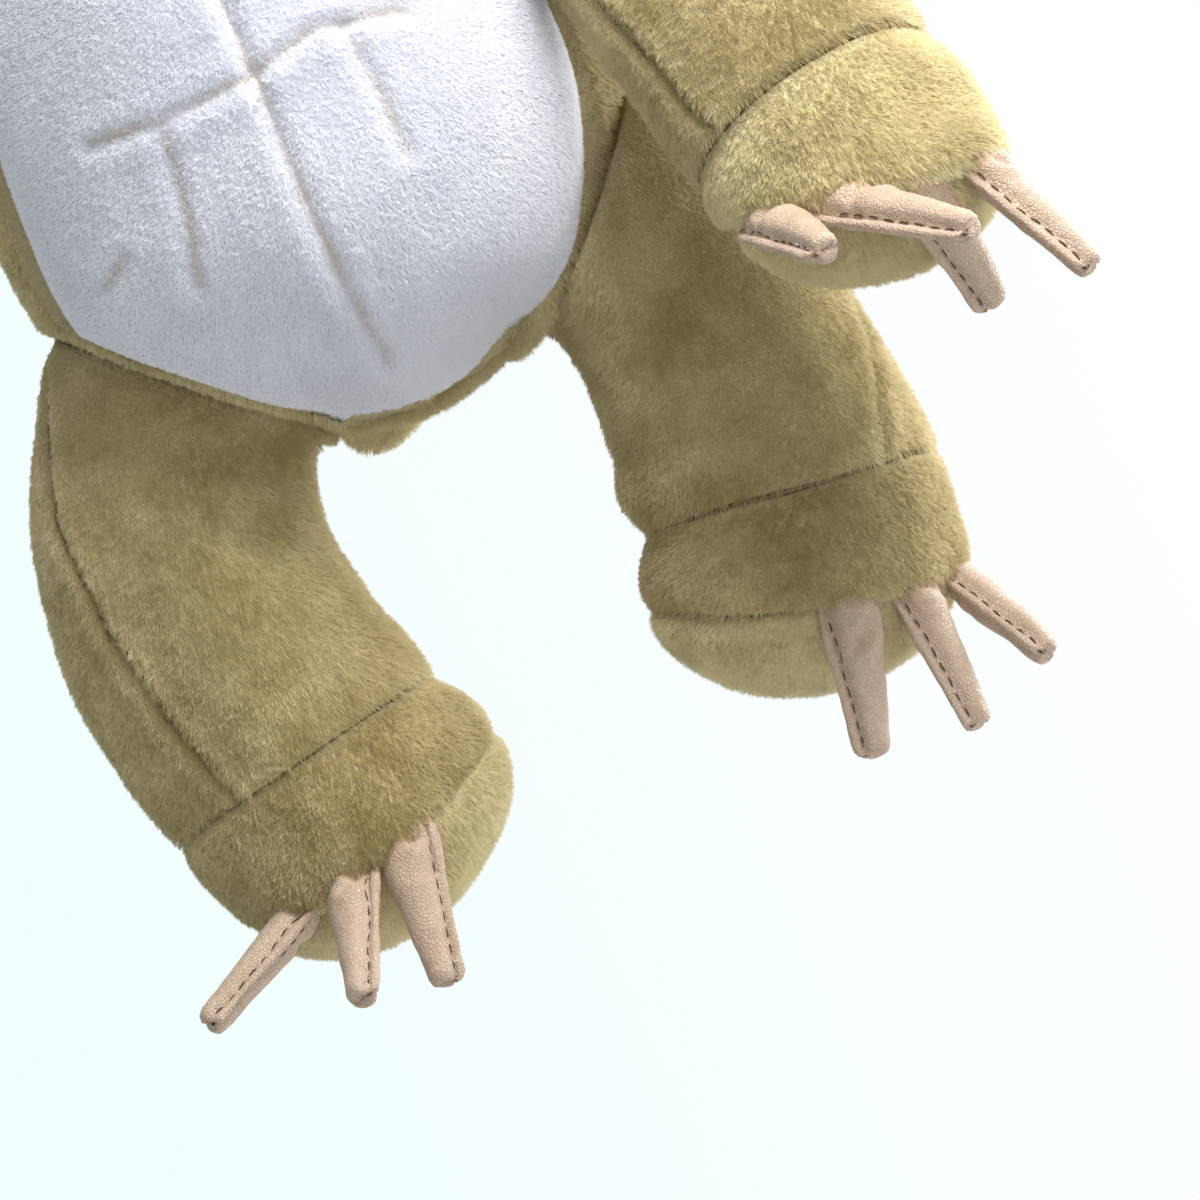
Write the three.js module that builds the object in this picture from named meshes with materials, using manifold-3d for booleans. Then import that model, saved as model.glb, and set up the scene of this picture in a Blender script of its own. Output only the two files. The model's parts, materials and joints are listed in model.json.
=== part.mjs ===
// A plush sloth, stuffed, about 40 cm from the crown to the tips of the foot claws.
// Millimetres. The toy faces -Y, +X is its own left and +Z runs up its back.
// The origin is the middle of the flat seat under the torso.
import * as THREE from 'three';
import * as BufferGeometryUtils from 'three/addons/utils/BufferGeometryUtils.js';
import Module from 'manifold-3d';

const wasm = await Module();
wasm.setup();

// Driving dimensions
const torsoHeight = 165;
const torsoWidth = 125;
const torsoDepth = 108;
const headHeight = 94;
const headWidth = 104;
const headDepth = 92;
const legWidth = 63;
const legDepth = 60;
const armWidth = 53;
const armDepth = 45;
const fabric = 3; // backing and pile of one plush panel
const seamGap = 0.3; // clear space between pieces that are sewn or that move on each other
const seatGap = 0.45; // clear space round a claw's root
const fillingGap = 0.8; // clear space round a filling inside its cover
const overrun = 5; // how far a cutting form passes what it cuts

// Finishes
const tanPlush = { color: 0xc4b585, roughness: 0.95, metalness: 0 };
const whitePlush = { color: 0xeeeef5, roughness: 0.95, metalness: 0 };
const creamPlush = { color: 0xe6dcc0, roughness: 0.95, metalness: 0 };
const darkPlush = { color: 0x4a382a, roughness: 0.95, metalness: 0 };
const clawLeather = { color: 0xd6bea5, roughness: 0.5, metalness: 0 };
const blackPlastic = { color: 0x101010, roughness: 0.12, metalness: 0 };
const whitePlastic = { color: 0xdedede, roughness: 0.5, metalness: 0 };
const noseFabric = { color: 0x2c211c, roughness: 0.6, metalness: 0 };
const fibre = { color: 0xf4f4f2, roughness: 1, metalness: 0 };

// Counts of sides round each kind of form
const torsoSides = 24;
const headSides = 20;
const limbSides = 14;
const fillingSides = 12;
const clawSides = 8;

const rad = THREE.MathUtils.degToRad;
const towardsFront = new THREE.Vector3(0, -1, 0);
const straightDown = new THREE.Vector3(0, 0, -1);

// The way down a limb: lean turns it to the toy's outer side, pitch turns it to the front
function wayDown(side, lean, pitch) {
  const down = Math.cos(rad(lean));
  return new THREE.Vector3(
    side * Math.sin(rad(lean)),
    -Math.sin(rad(pitch)) * down,
    -Math.cos(rad(pitch)) * down,
  );
}

// One oval ring of points round a centre, in the plane that faces the given way
function ringPoints({ centre, facing, wide, deep }, sides) {
  const front = towardsFront.clone().projectOnPlane(facing).normalize();
  const across = new THREE.Vector3().crossVectors(front, facing);
  return Array.from({ length: sides }, (_, i) => {
    const turn = (2 * Math.PI * i) / sides;
    return centre.clone()
      .addScaledVector(across, wide * Math.cos(turn))
      .addScaledVector(front, deep * Math.sin(turn));
  });
}

// A closed skin through a list of rings. It ends in a point at the middle of its first and last
// ring, or joins its last ring to its first where it is a loop.
function skin(rings, sides, loop = false) {
  const points = rings.flatMap((ring) => ringPoints(ring, sides));
  const faces = [];
  const steps = loop ? rings.length : rings.length - 1;
  for (let step = 0; step < steps; step += 1) {
    const here = step * sides;
    const there = ((step + 1) % rings.length) * sides;
    for (let i = 0; i < sides; i += 1) {
      const next = (i + 1) % sides;
      faces.push(here + i, here + next, there + i);
      faces.push(here + next, there + next, there + i);
    }
  }
  if (!loop) {
    const first = points.push(rings[0].centre) - 1;
    const last = points.push(rings[rings.length - 1].centre) - 1;
    const end = (rings.length - 1) * sides;
    for (let i = 0; i < sides; i += 1) {
      const next = (i + 1) % sides;
      faces.push(first, next, i);
      faces.push(last, end + i, end + next);
    }
  }
  const geometry = new THREE.BufferGeometry();
  const flat = points.flatMap((point) => point.toArray());
  geometry.setAttribute('position', new THREE.Float32BufferAttribute(flat, 3));
  geometry.setIndex(faces);
  return geometry;
}

// A geometry as a solid that can be cut, and back again
function solid(geometry) {
  const bare = geometry.clone();
  bare.deleteAttribute('normal');
  bare.deleteAttribute('uv');
  const merged = BufferGeometryUtils.mergeVertices(bare);
  return new wasm.Manifold(new wasm.Mesh({
    numProp: 3,
    vertProperties: new Float32Array(merged.attributes.position.array),
    triVerts: new Uint32Array(merged.index.array),
  }));
}

function geometryOf(cut) {
  const mesh = cut.getMesh();
  const geometry = new THREE.BufferGeometry();
  geometry.setAttribute('position', new THREE.BufferAttribute(mesh.vertProperties, 3));
  geometry.setIndex(new THREE.BufferAttribute(mesh.triVerts, 1));
  return geometry;
}

// A named piece in its finish
function piece(name, shape, finish) {
  const geometry = shape instanceof THREE.BufferGeometry ? shape : geometryOf(shape);
  const mesh = new THREE.Mesh(geometry, new THREE.MeshStandardMaterial(finish));
  mesh.name = name;
  return mesh;
}

// The half of space beyond a plane, as a box of the given reach
function beyond(point, facing, reach) {
  const box = new THREE.BoxGeometry(reach, reach, reach);
  box.translate(0, 0, reach / 2);
  const turn = new THREE.Quaternion().setFromUnitVectors(new THREE.Vector3(0, 0, 1), facing);
  box.applyQuaternion(turn);
  box.translate(point.x, point.y, point.z);
  return solid(box);
}

// An oval bar along Y, from the middle of the toy out to its front. Its lower half has a height
// of its own.
function frontOval(x, z, wide, high, low, tilt, reach) {
  const outline = new THREE.Shape();
  outline.absellipse(0, 0, wide, low, Math.PI, 2 * Math.PI, false, 0);
  outline.absellipse(0, 0, wide, high, 0, Math.PI, false, 0);
  const bar = new THREE.ExtrudeGeometry(outline, { depth: reach, bevelEnabled: false, curveSegments: 10 });
  bar.rotateZ(tilt);
  bar.rotateX(Math.PI / 2);
  bar.translate(x, 0, z);
  return solid(bar);
}

// A form of level ovals, from shares of its height, half width and half depth. The last share
// is how far each oval sits forward.
function levelForm(shares, height, width, depth, base, grow, sides) {
  const rings = shares.map(([level, wide, deep, forward]) => ({
    centre: new THREE.Vector3(0, -forward * depth / 2, base + level * height + grow * (2 * level - 1)),
    facing: new THREE.Vector3(0, 0, -1),
    wide: wide * width / 2 + grow,
    deep: deep * depth / 2 + grow,
  }));
  return solid(skin(rings, sides));
}

// Torso: a pear that swells to the belly, flat at the seat and at the neck
const torsoShares = [
  [1, 0.5, 0.52, 0],
  [0.96, 0.63, 0.64, 0.01],
  [0.89, 0.75, 0.74, 0.02],
  [0.79, 0.845, 0.83, 0.04],
  [0.66, 0.92, 0.91, 0.07],
  [0.52, 0.975, 0.97, 0.1],
  [0.38, 1, 1, 0.11],
  [0.25, 0.965, 0.97, 0.1],
  [0.14, 0.83, 0.83, 0.07],
  [0.065, 0.63, 0.62, 0.04],
  [0.02, 0.43, 0.42, 0.02],
  [0, 0.27, 0.27, 0.01],
];
const torsoForm = (grow, sides = torsoSides) => (
  levelForm(torsoShares, torsoHeight, torsoWidth, torsoDepth, 0, grow, sides)
);

// Hips: each leg is sewn on round a disc that faces down and out
const hipLean = 44.7;
const hips = {
  left: { out: 44.5, back: 5, up: 24.5, pitch: -14, gather: 0.86 },
  right: { out: 37.5, back: 3, up: 24.1, pitch: 0, gather: 1 },
};
const sideNames = { left: 1, right: -1 };
const hipPlace = (name) => new THREE.Vector3(sideNames[name] * hips[name].out, hips[name].back, hips[name].up);
const hipFacing = (name) => wayDown(sideNames[name], hipLean, hips[name].pitch);

// Shoulders: each arm lies against the flank, which faces out and a little up
const shoulderLean = 103;
const shoulderOut = 48;
const shoulderUp = 133;
const shoulderBack = 2;
const shoulderPlace = (name) => new THREE.Vector3(sideNames[name] * shoulderOut, shoulderBack, shoulderUp);
const shoulderFacing = (name) => wayDown(sideNames[name], shoulderLean, 0);

// Tail: a stub low on the back
const tailUp = 24;
const tailBack = 37;
const tailPitch = -64;
const tailPlace = new THREE.Vector3(0, tailBack, tailUp);
const tailFacing = wayDown(1, 0, tailPitch);

// Everything that the torso is cut back for, set back from the limbs by the seam gap
const torsoCuts = (depth) => [
  ...Object.keys(sideNames).flatMap((name) => [
    [hipPlace(name), hipFacing(name)],
    [shoulderPlace(name), shoulderFacing(name)],
  ]),
  [tailPlace, tailFacing],
].map(([point, facing]) => (
  beyond(point.clone().addScaledVector(facing, -depth), facing, torsoHeight)
));

const cutBy = (form, cuts) => cuts.reduce((left, cut) => left.subtract(cut), form);

// The largest of the bodies that a cut leaves
const mainBody = (form) => (
  form.decompose().reduce((best, body) => (body.volume() > best.volume() ? body : best))
);
const torsoOuter = cutBy(torsoForm(0), torsoCuts(0));
const torsoInner = cutBy(torsoForm(-fabric, fillingSides), torsoCuts(fabric));
const torsoShell = torsoOuter.subtract(torsoInner);

// Belly: a white oval in the torso's front
const bellyHalfWidth = 57.5;
const bellyAbove = 90; // from its widest line to its top
const bellyBelow = 56; // from its widest line to its foot
const bellyFoot = 1.4;
const bellyOval = (grow) => frontOval(
  0,
  bellyFoot + bellyBelow,
  bellyHalfWidth + grow,
  bellyAbove + grow,
  bellyBelow + grow,
  0,
  torsoDepth,
);
const torso = new THREE.Group();
torso.add(piece('torso_back_cover', mainBody(torsoShell.subtract(bellyOval(seamGap))), tanPlush));
torso.add(piece('belly_panel', mainBody(torsoShell.intersect(bellyOval(0))), whitePlush));
torso.add(piece(
  'torso_filling',
  cutBy(torsoForm(-fabric - fillingGap, fillingSides), torsoCuts(fabric + fillingGap)),
  fibre,
));

// Tail: a blunt stub that droops from its seam
const tailLength = 34;
const tailRadius = 13;
const tailDroop = 38;
const tailSwing = 62; // degrees that it is turned to the toy's right
const tailShares = [[0, 1, 0], [0.3, 1.02, 0.3], [0.62, 0.9, 0.7], [0.86, 0.62, 1], [0.97, 0.3, 1]];
function tailForm() {
  const at = new THREE.Vector3();
  let last = 0;
  const rings = tailShares.map(([along, radius, droop]) => {
    const facing = wayDown(1, 0, tailDroop * droop);
    at.addScaledVector(facing, (along - last) * tailLength);
    last = along;
    return { centre: at.clone(), facing, wide: radius * tailRadius, deep: radius * tailRadius };
  });
  return skin(rings, fillingSides);
}
const tail = new THREE.Group();
tail.position.copy(tailPlace).addScaledVector(tailFacing, seamGap);
tail.quaternion.setFromUnitVectors(straightDown, tailFacing);
tail.rotateZ(rad(-tailSwing));
tail.add(piece('tail', tailForm(), tanPlush));
torso.add(tail);

// Claws: folded leather, flat and wide at the root, with a blunt tip. A claw's own frame has the
// hinge at its origin, the hinge axis along X and the tip down -Z.
const clawLength = 31;
const clawWidth = 12.5;
const clawThickness = 8.5;
const clawRoot = 4.2; // how far the rounded root reaches past the hinge
const clawBend = 1.6; // how far the tip curls to the back
const clawTuck = 6; // degrees that a claw folds in to its hand or foot
const clawFlop = 24; // degrees that it lifts away
const clawShares = [
  [0.0, 0.62, 0.4, 0],
  [0.07, 0.93, 0.82, 0],
  [0.15, 1, 1, 0],
  [0.5, 0.78, 0.9, 0.2],
  [0.92, 0.53, 0.7, 0.8],
  [0.985, 0.38, 0.5, 1],
];
function clawForm(grow) {
  const whole = clawRoot + clawLength;
  const rings = clawShares.map(([along, wide, thick, bend], i) => ({
    centre: new THREE.Vector3(0, -bend * clawBend, clawRoot - along * whole + (i === 0 ? grow : 0)),
    facing: new THREE.Vector3(0, 0, -1),
    wide: wide * clawWidth / 2 + grow,
    deep: thick * clawThickness / 2 + grow,
  }));
  return skin(rings, clawSides);
}
// The room that a claw sweeps through between its limits: a wedge with a round back
function clawSeat() {
  const half = clawThickness / 2 + seatGap;
  const round = clawRoot + seatGap;
  const tuck = rad(-clawTuck) - Math.PI / 2;
  const flop = rad(clawFlop) - Math.PI / 2;
  const reach = clawLength + clawRoot;
  const outline = new THREE.Shape();
  outline.absarc(0, 0, round, flop + Math.PI / 2, tuck - Math.PI / 2, false);
  outline.lineTo(
    Math.cos(tuck) * reach + Math.sin(tuck) * half,
    Math.sin(tuck) * reach - Math.cos(tuck) * half,
  );
  outline.lineTo(
    Math.cos(flop) * reach - Math.sin(flop) * half,
    Math.sin(flop) * reach + Math.cos(flop) * half,
  );
  const width = clawWidth + 2 * seatGap;
  const wedge = new THREE.ExtrudeGeometry(outline, { depth: width, bevelEnabled: false, curveSegments: 3 });
  wedge.translate(0, 0, -width / 2);
  wedge.rotateY(Math.PI / 2);
  wedge.rotateX(Math.PI / 2);
  return solid(wedge);
}

// A hand or a foot: a band from the wrist or ankle seam to the claw seam, and a dome that closes it.
// Its own frame has the wrist or ankle at its origin and points down -Z.
function endRings(kind, side, grow) {
  return kind.bandShares.map(([along, wide, deep, inward, forward, turned]) => ({
    centre: new THREE.Vector3(
      -side * inward * kind.width / 2,
      -forward * kind.depth / 2,
      -seamGap - along * kind.bandLength,
    ),
    facing: wayDown(side, turned * kind.seamLean, turned * kind.seamPitch),
    wide: wide * kind.width / 2 + grow,
    deep: deep * kind.depth / 2 + grow,
  }));
}
const domeShares = [[0, 1], [0.28, 0.955], [0.58, 0.8], [0.82, 0.56], [0.96, 0.28]];
function domeRings(kind, seam, from, grow) {
  return domeShares.map(([along, radius]) => ({
    centre: seam.centre.clone().addScaledVector(seam.facing, from + along * (kind.domeHeight - from + grow)),
    facing: seam.facing,
    wide: radius * seam.wide,
    deep: radius * seam.deep,
  }));
}
// The way a claw points in this pose: splay is how far it turns to the toy's outer side as seen
// from the front, lift is how far it points to the front
function clawWay(side, splay, lift) {
  const flat = Math.cos(rad(lift));
  return new THREE.Vector3(
    side * flat * Math.sin(rad(splay)),
    -Math.sin(rad(lift)),
    -flat * Math.cos(rad(splay)),
  );
}
// A claw's group: turn is where it is rooted round the seam, from the front to the outer side
function clawGroup(kind, side, seam, bearing, [turn, splay, lift]) {
  const front = towardsFront.clone().projectOnPlane(seam.facing).normalize();
  const across = new THREE.Vector3().crossVectors(front, seam.facing).multiplyScalar(side);
  const outward = new THREE.Vector3()
    .addScaledVector(across, Math.sin(rad(turn)))
    .addScaledVector(front, Math.cos(rad(turn)));
  const edge = 1 / Math.hypot(Math.sin(rad(turn)) / seam.wide, Math.cos(rad(turn)) / seam.deep);
  const ahead = clawWay(side, splay, lift).applyQuaternion(bearing.clone().invert());
  const hinge = new THREE.Vector3().crossVectors(seam.facing, outward).projectOnPlane(ahead).normalize();
  const back = new THREE.Vector3().crossVectors(hinge, ahead);
  const group = new THREE.Group();
  group.position.copy(seam.centre).addScaledVector(outward, edge - kind.clawInset);
  group.quaternion.setFromRotationMatrix(new THREE.Matrix4().makeBasis(hinge, back, ahead.negate()));
  return group;
}
function limbEnd(kind, side, sideName, bearing) {
  const outer = endRings(kind, side, 0);
  const inner = endRings(kind, side, -fabric);
  const seam = outer[outer.length - 1];
  const innerSeam = inner[inner.length - 1];
  const coreRings = endRings(kind, side, -fabric - fillingGap);
  const coreSeam = coreRings[coreRings.length - 1];
  const dome = [
    ...domeRings(kind, innerSeam, seamGap, -fabric).reverse(),
    ...domeRings(kind, seam, seamGap, 0),
  ];
  const band = solid(skin([...outer, ...inner.reverse()], limbSides, true));
  const cap = solid(skin(dome, limbSides));
  const core = solid(skin(
    [...coreRings, ...domeRings(kind, coreSeam, 0, -fabric - fillingGap).slice(1)],
    limbSides,
  ));
  const group = new THREE.Group();
  group.quaternion.copy(bearing);
  const seats = kind.claws[sideName].map((place, i) => {
    const claw = clawGroup(kind, side, seam, bearing, place);
    claw.add(piece(`${kind.clawName}_${sideName}_${i + 1}`, clawForm(0), clawLeather));
    group.add(claw);
    claw.updateMatrix();
    return clawSeat().transform(claw.matrix.elements);
  });
  group.add(piece(`${kind.bandName}_${sideName}`, mainBody(cutBy(band, seats)), tanPlush));
  group.add(piece(`${kind.domeName}_${sideName}`, mainBody(cutBy(cap, seats)), tanPlush));
  group.add(piece(`${kind.fillingName}_${sideName}`, mainBody(cutBy(core, seats)), fibre));
  return group;
}

// A plush tube along a curve, with the filling inside it. It starts square to its first way and
// ends square to its last.
function tubeRings(curve, shares, width, depth, start, end, side, grow) {
  return shares.map(([along, wide, deep, turned]) => ({
    centre: curve.getPoint(along),
    facing: wayDown(
      side,
      THREE.MathUtils.lerp(end.lean, start.lean, turned),
      THREE.MathUtils.lerp(end.pitch, start.pitch, turned),
    ),
    wide: wide * width / 2 + grow,
    deep: deep * depth / 2 + grow,
  }));
}

// Legs: the tube leaves the hip disc square to it and turns down to the ankle
const legShares = [
  [0, 1, 0.94, 1],
  [0.17, 0.965, 0.97, 0.7],
  [0.34, 0.975, 1, 0.5],
  [0.52, 1, 1.02, 0.34],
  [0.7, 1.03, 1.03, 0.2],
  [0.87, 1.03, 1.01, 0.09],
  [1, 0.985, 0.98, 0],
];
const hipRun = 26; // how far the tube keeps to the hip's way
const ankleRun = 35; // how far it keeps to the ankle's way
const legs = {
  left: { out: 63, back: 3, up: -42, lean: -7.6, runLean: 10, twist: 0 },
  right: { out: 47, back: 1, up: -51.5, lean: -10.5, runLean: -14, twist: -16 },
};
const foot = {
  bandName: 'foot_band',
  domeName: 'sole',
  fillingName: 'foot_filling',
  clawName: 'foot_claw',
  width: 64,
  depth: 61,
  bandLength: 18.5,
  domeHeight: 20,
  seamLean: -8,
  seamPitch: -9,
  clawInset: 2.2,
  bandShares: [
    [0, 0.97, 0.96, 0, 0, 0],
    [0.4, 1.01, 1.01, 0.03, 0.02, 0.3],
    [0.75, 1.01, 1.02, 0.07, 0.03, 0.7],
    [1, 0.98, 0.99, 0.1, 0.03, 1],
  ],
  claws: {
    left: [[14, -13, 18], [44, 6, 20], [77, 32, 40]],
    right: [[5, 6, 26], [31, 21, 51], [57, 71, 28]],
  },
};
function legGroup(side, sideName) {
  const shape = legs[sideName];
  const start = { lean: hipLean, pitch: hips[sideName].pitch };
  const end = { lean: shape.lean, pitch: 0 };
  const hipWay = hipFacing(sideName);
  const ankle = new THREE.Vector3(side * shape.out, shape.back, shape.up).sub(hipPlace(sideName));
  const curve = new THREE.CubicBezierCurve3(
    new THREE.Vector3(),
    hipWay.clone().multiplyScalar(hipRun),
    ankle.clone().addScaledVector(wayDown(side, shape.runLean, 0), -ankleRun),
    ankle,
  );
  const gathered = legShares.map(([along, wide, deep, turned]) => (
    [along, wide * THREE.MathUtils.lerp(1, hips[sideName].gather, turned), deep, turned]
  ));
  const rings = (grow) => tubeRings(curve, gathered, legWidth, legDepth, start, end, side, grow);
  const group = new THREE.Group();
  group.position.copy(hipPlace(sideName)).addScaledVector(hipWay, seamGap);
  group.add(piece(
    `leg_cover_${sideName}`,
    skin([...rings(0), ...rings(-fabric).reverse()], limbSides, true),
    tanPlush,
  ));
  group.add(piece(`leg_filling_${sideName}`, skin(rings(-fabric - fillingGap), limbSides), fibre));
  const bearing = new THREE.Quaternion().setFromUnitVectors(straightDown, wayDown(side, shape.lean, 0));
  bearing.multiply(new THREE.Quaternion().setFromAxisAngle(straightDown, rad(-side * shape.twist)));
  const footGroup = limbEnd(foot, side, sideName, bearing);
  footGroup.position.copy(ankle);
  group.add(footGroup);
  return group;
}
Object.entries(sideNames).forEach(([name, side]) => torso.add(legGroup(side, name)));

// Arms: a rounded shoulder lies against the flank, and the sleeve hangs down to the wrist
const armShares = [
  [0, 0.3, 0.3, 1],
  [0.02, 0.62, 0.62, 1],
  [0.07, 0.86, 0.88, 1],
  [0.16, 0.96, 0.98, 0.9],
  [0.36, 0.95, 1, 0.6],
  [0.58, 0.98, 1, 0.35],
  [0.8, 1.03, 1.02, 0.12],
  [1, 1.01, 0.98, 0],
];
const armOff = 18; // from the flank to the middle of the sleeve
const armTop = 22; // how far the rounded end rises above the shoulder's middle
const armPatch = 130; // the stretch of sleeve that lies flat against the flank
const shoulderRun = 52; // how far the sleeve keeps to the shoulder's way
const wristRun = 40; // how far it keeps to the wrist's way
const wristPlace = { out: 92.5, front: 58, up: 22 };
const armHang = { lean: 22, pitch: 12 }; // the sleeve's way at the shoulder
const wristHang = { lean: 9, pitch: 17 }; // its way at the wrist
const armSwing = { left: 0, right: 95 }; // degrees that the arm is raised in this pose
const hand = {
  bandName: 'hand_back',
  domeName: 'palm',
  fillingName: 'hand_filling',
  clawName: 'hand_claw',
  width: 54,
  depth: 46,
  bandLength: 20,
  domeHeight: 16,
  seamLean: -16,
  seamPitch: -25,
  clawInset: 2.2,
  bandShares: [
    [0, 0.95, 0.95, 0, 0, 0],
    [0.35, 1.02, 1.02, 0, 0, 0.3],
    [0.7, 1.03, 1.02, 0, 0, 0.66],
    [1, 0.98, 0.98, 0, 0, 1],
  ],
  claws: {
    left: [[-59, 34, 74], [-17, 56, 47], [25, 12, -26], [58, 27, 26]],
    right: [[-54, -12, 30], [-18, -4, 14], [17, 8, 10], [52, 20, 14]],
  },
};

function armGroup(side, sideName) {
  const flank = shoulderFacing(sideName);
  const middle = flank.clone().multiplyScalar(armOff);
  const hangWay = wayDown(side, armHang.lean, armHang.pitch);
  const wristWay = wayDown(side, wristHang.lean, wristHang.pitch);
  const end = new THREE.Vector3(side * wristPlace.out, -wristPlace.front, wristPlace.up)
    .sub(shoulderPlace(sideName));
  const top = middle.clone().addScaledVector(hangWay, -armTop);
  const curve = new THREE.CubicBezierCurve3(
    top,
    top.clone().addScaledVector(hangWay, shoulderRun),
    end.clone().addScaledVector(wristWay, -wristRun),
    end,
  );
  const rings = (grow) => tubeRings(curve, armShares, armWidth, armDepth, armHang, wristHang, side, grow);
  const group = new THREE.Group();
  group.position.copy(shoulderPlace(sideName)).addScaledVector(flank, seamGap);
  const flankCut = (depth) => (
    beyond(flank.clone().multiplyScalar(depth), flank.clone().negate(), armPatch)
  );
  const innerRings = (grow) => rings(grow).slice(2);
  const outer = solid(skin(rings(0), limbSides)).subtract(flankCut(0));
  const inner = solid(skin(innerRings(-fabric), fillingSides)).subtract(flankCut(fabric));
  const last = innerRings(-fabric).pop();
  const mouth = [-overrun, overrun].map((run) => ({
    ...last,
    centre: end.clone().addScaledVector(wristWay, run),
  }));
  const sleeve = cutBy(outer, [inner, solid(skin(mouth, fillingSides))]);
  const core = solid(skin(innerRings(-fabric - fillingGap), fillingSides))
    .subtract(flankCut(fabric + fillingGap));
  group.add(piece(`arm_cover_${sideName}`, sleeve, tanPlush));
  group.add(piece(`arm_filling_${sideName}`, core, fibre));
  const bearing = new THREE.Quaternion().setFromUnitVectors(straightDown, wristWay);
  const handGroup = limbEnd(hand, side, sideName, bearing);
  handGroup.position.copy(end);
  group.add(handGroup);
  group.rotateOnAxis(flank, rad(-side * armSwing[sideName]));
  return group;
}
Object.entries(sideNames).forEach(([name, side]) => torso.add(armGroup(side, name)));

// Head: a rounded form, flat where it is sewn round the neck, with a face panel in its front
const headShares = [
  [1, 0.2, 0.2, 0],
  [0.985, 0.42, 0.42, 0],
  [0.92, 0.68, 0.7, 0.01],
  [0.79, 0.89, 0.9, 0.03],
  [0.63, 0.985, 0.99, 0.06],
  [0.46, 1, 1.02, 0.12],
  [0.31, 0.94, 1, 0.16],
  [0.17, 0.81, 0.88, 0.13],
  [0.06, 0.62, 0.66, 0.05],
  [0, 0.48, 0.5, 0],
];
const headForm = (grow, sides = headSides) => (
  levelForm(headShares, headHeight, headWidth, headDepth, 0, grow, sides)
);
const head = new THREE.Group();
head.position.set(0, 0, torsoHeight + seamGap);

// Where the front of a form lies under a point of the face, and the way it faces there
function onFace(form, x, z) {
  const target = new THREE.Mesh(geometryOf(form), new THREE.MeshBasicMaterial());
  const start = new THREE.Vector3(x, -headDepth, z);
  const [hit] = new THREE.Raycaster(start, new THREE.Vector3(0, 1, 0)).intersectObject(target);
  return hit;
}

const faceHalfWidth = 38;
const faceHalfHeight = 34;
const faceUp = 44;
const faceOval = (grow) => (
  frontOval(0, faceUp, faceHalfWidth + grow, faceHalfHeight + grow, faceHalfHeight + grow, 0, headDepth)
);

// Eyes: a black dome with a stem through the face, held by a washer behind it
const eyeOut = 19;
const eyeUp = 52;
const eyeRadius = 5.5;
const eyeDome = 4; // how far the dome stands proud
const stemRadius = 1.6;
const patchThickness = 1.6;
const washerRadius = 7;
const washerThickness = 1.4;
const stemEnd = 2; // how far the stem passes the washer
const washerOff = 3; // from the face's flat backing to the washer
const washerDepth = seamGap * 2 + patchThickness + fabric + washerOff;
const stemLength = washerDepth + washerThickness + stemEnd;

function turned(profile, sides) {
  return new THREE.LatheGeometry(profile.map(([x, y]) => new THREE.Vector2(x, y)), sides);
}
const eyeForm = () => turned([
  [0, -stemLength],
  [stemRadius, -stemLength],
  [stemRadius, 0],
  [eyeRadius, 0],
  [eyeRadius * 0.97, eyeDome * 0.35],
  [eyeRadius * 0.75, eyeDome * 0.75],
  [eyeRadius * 0.4, eyeDome * 0.97],
  [0, eyeDome],
], 12);
const washerForm = () => turned([
  [stemRadius + seamGap, -washerDepth],
  [stemRadius + seamGap, -washerDepth - washerThickness],
  [washerRadius, -washerDepth - washerThickness],
  [washerRadius, -washerDepth],
  [stemRadius + seamGap, -washerDepth],
], 12);
const rod = (radius, from, to) => turned([[0, from], [radius, from], [radius, to], [0, to]], 12);

const patchHalfWidth = 9.5;
const patchHalfHeight = 17;
const patchTilt = 38; // degrees that the patch slants down and out
const patchDrop = 5; // from the eye down to the patch's middle
const patchLayer = headForm(seamGap + patchThickness).subtract(headForm(seamGap));
let headShell = headForm(0).subtract(headForm(-fabric, fillingSides));
let headCore = headForm(-fabric - fillingGap, fillingSides);
const patches = {};
Object.entries(sideNames).forEach(([name, side]) => {
  const spot = onFace(headForm(seamGap + patchThickness), side * eyeOut, eyeUp);
  const eye = new THREE.Group();
  eye.position.copy(spot.point).addScaledVector(spot.face.normal, seamGap);
  eye.quaternion.setFromUnitVectors(new THREE.Vector3(0, 1, 0), spot.face.normal);
  eye.updateMatrix();
  const set = (geometry) => solid(geometry).transform(eye.matrix.elements);
  const stemHole = set(rod(stemRadius + seamGap, -stemLength - overrun, overrun));
  const washerRoom = set(rod(washerRadius + seamGap, -stemLength - seamGap, -washerDepth + washerOff));
  headShell = headShell.subtract(stemHole);
  headCore = headCore.subtract(washerRoom);
  const oval = frontOval(
    side * (eyeOut + patchDrop * Math.tan(rad(patchTilt))),
    eyeUp - patchDrop,
    patchHalfWidth,
    patchHalfHeight,
    patchHalfHeight,
    -side * rad(patchTilt),
    headDepth,
  );
  patches[name] = mainBody(patchLayer.intersect(oval).subtract(stemHole));
  eye.add(piece(`eye_${name}`, eyeForm(), blackPlastic));
  eye.add(piece(`eye_washer_${name}`, washerForm(), whitePlastic));
  head.add(eye);
});
head.add(piece('head_cover', mainBody(headShell.subtract(faceOval(seamGap))), tanPlush));
head.add(piece('face_panel', mainBody(headShell.intersect(faceOval(0))), creamPlush));
head.add(piece('head_filling', mainBody(headCore), fibre));
Object.entries(patches).forEach(([name, patch]) => head.add(piece(`eye_patch_${name}`, patch, darkPlush)));

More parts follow.
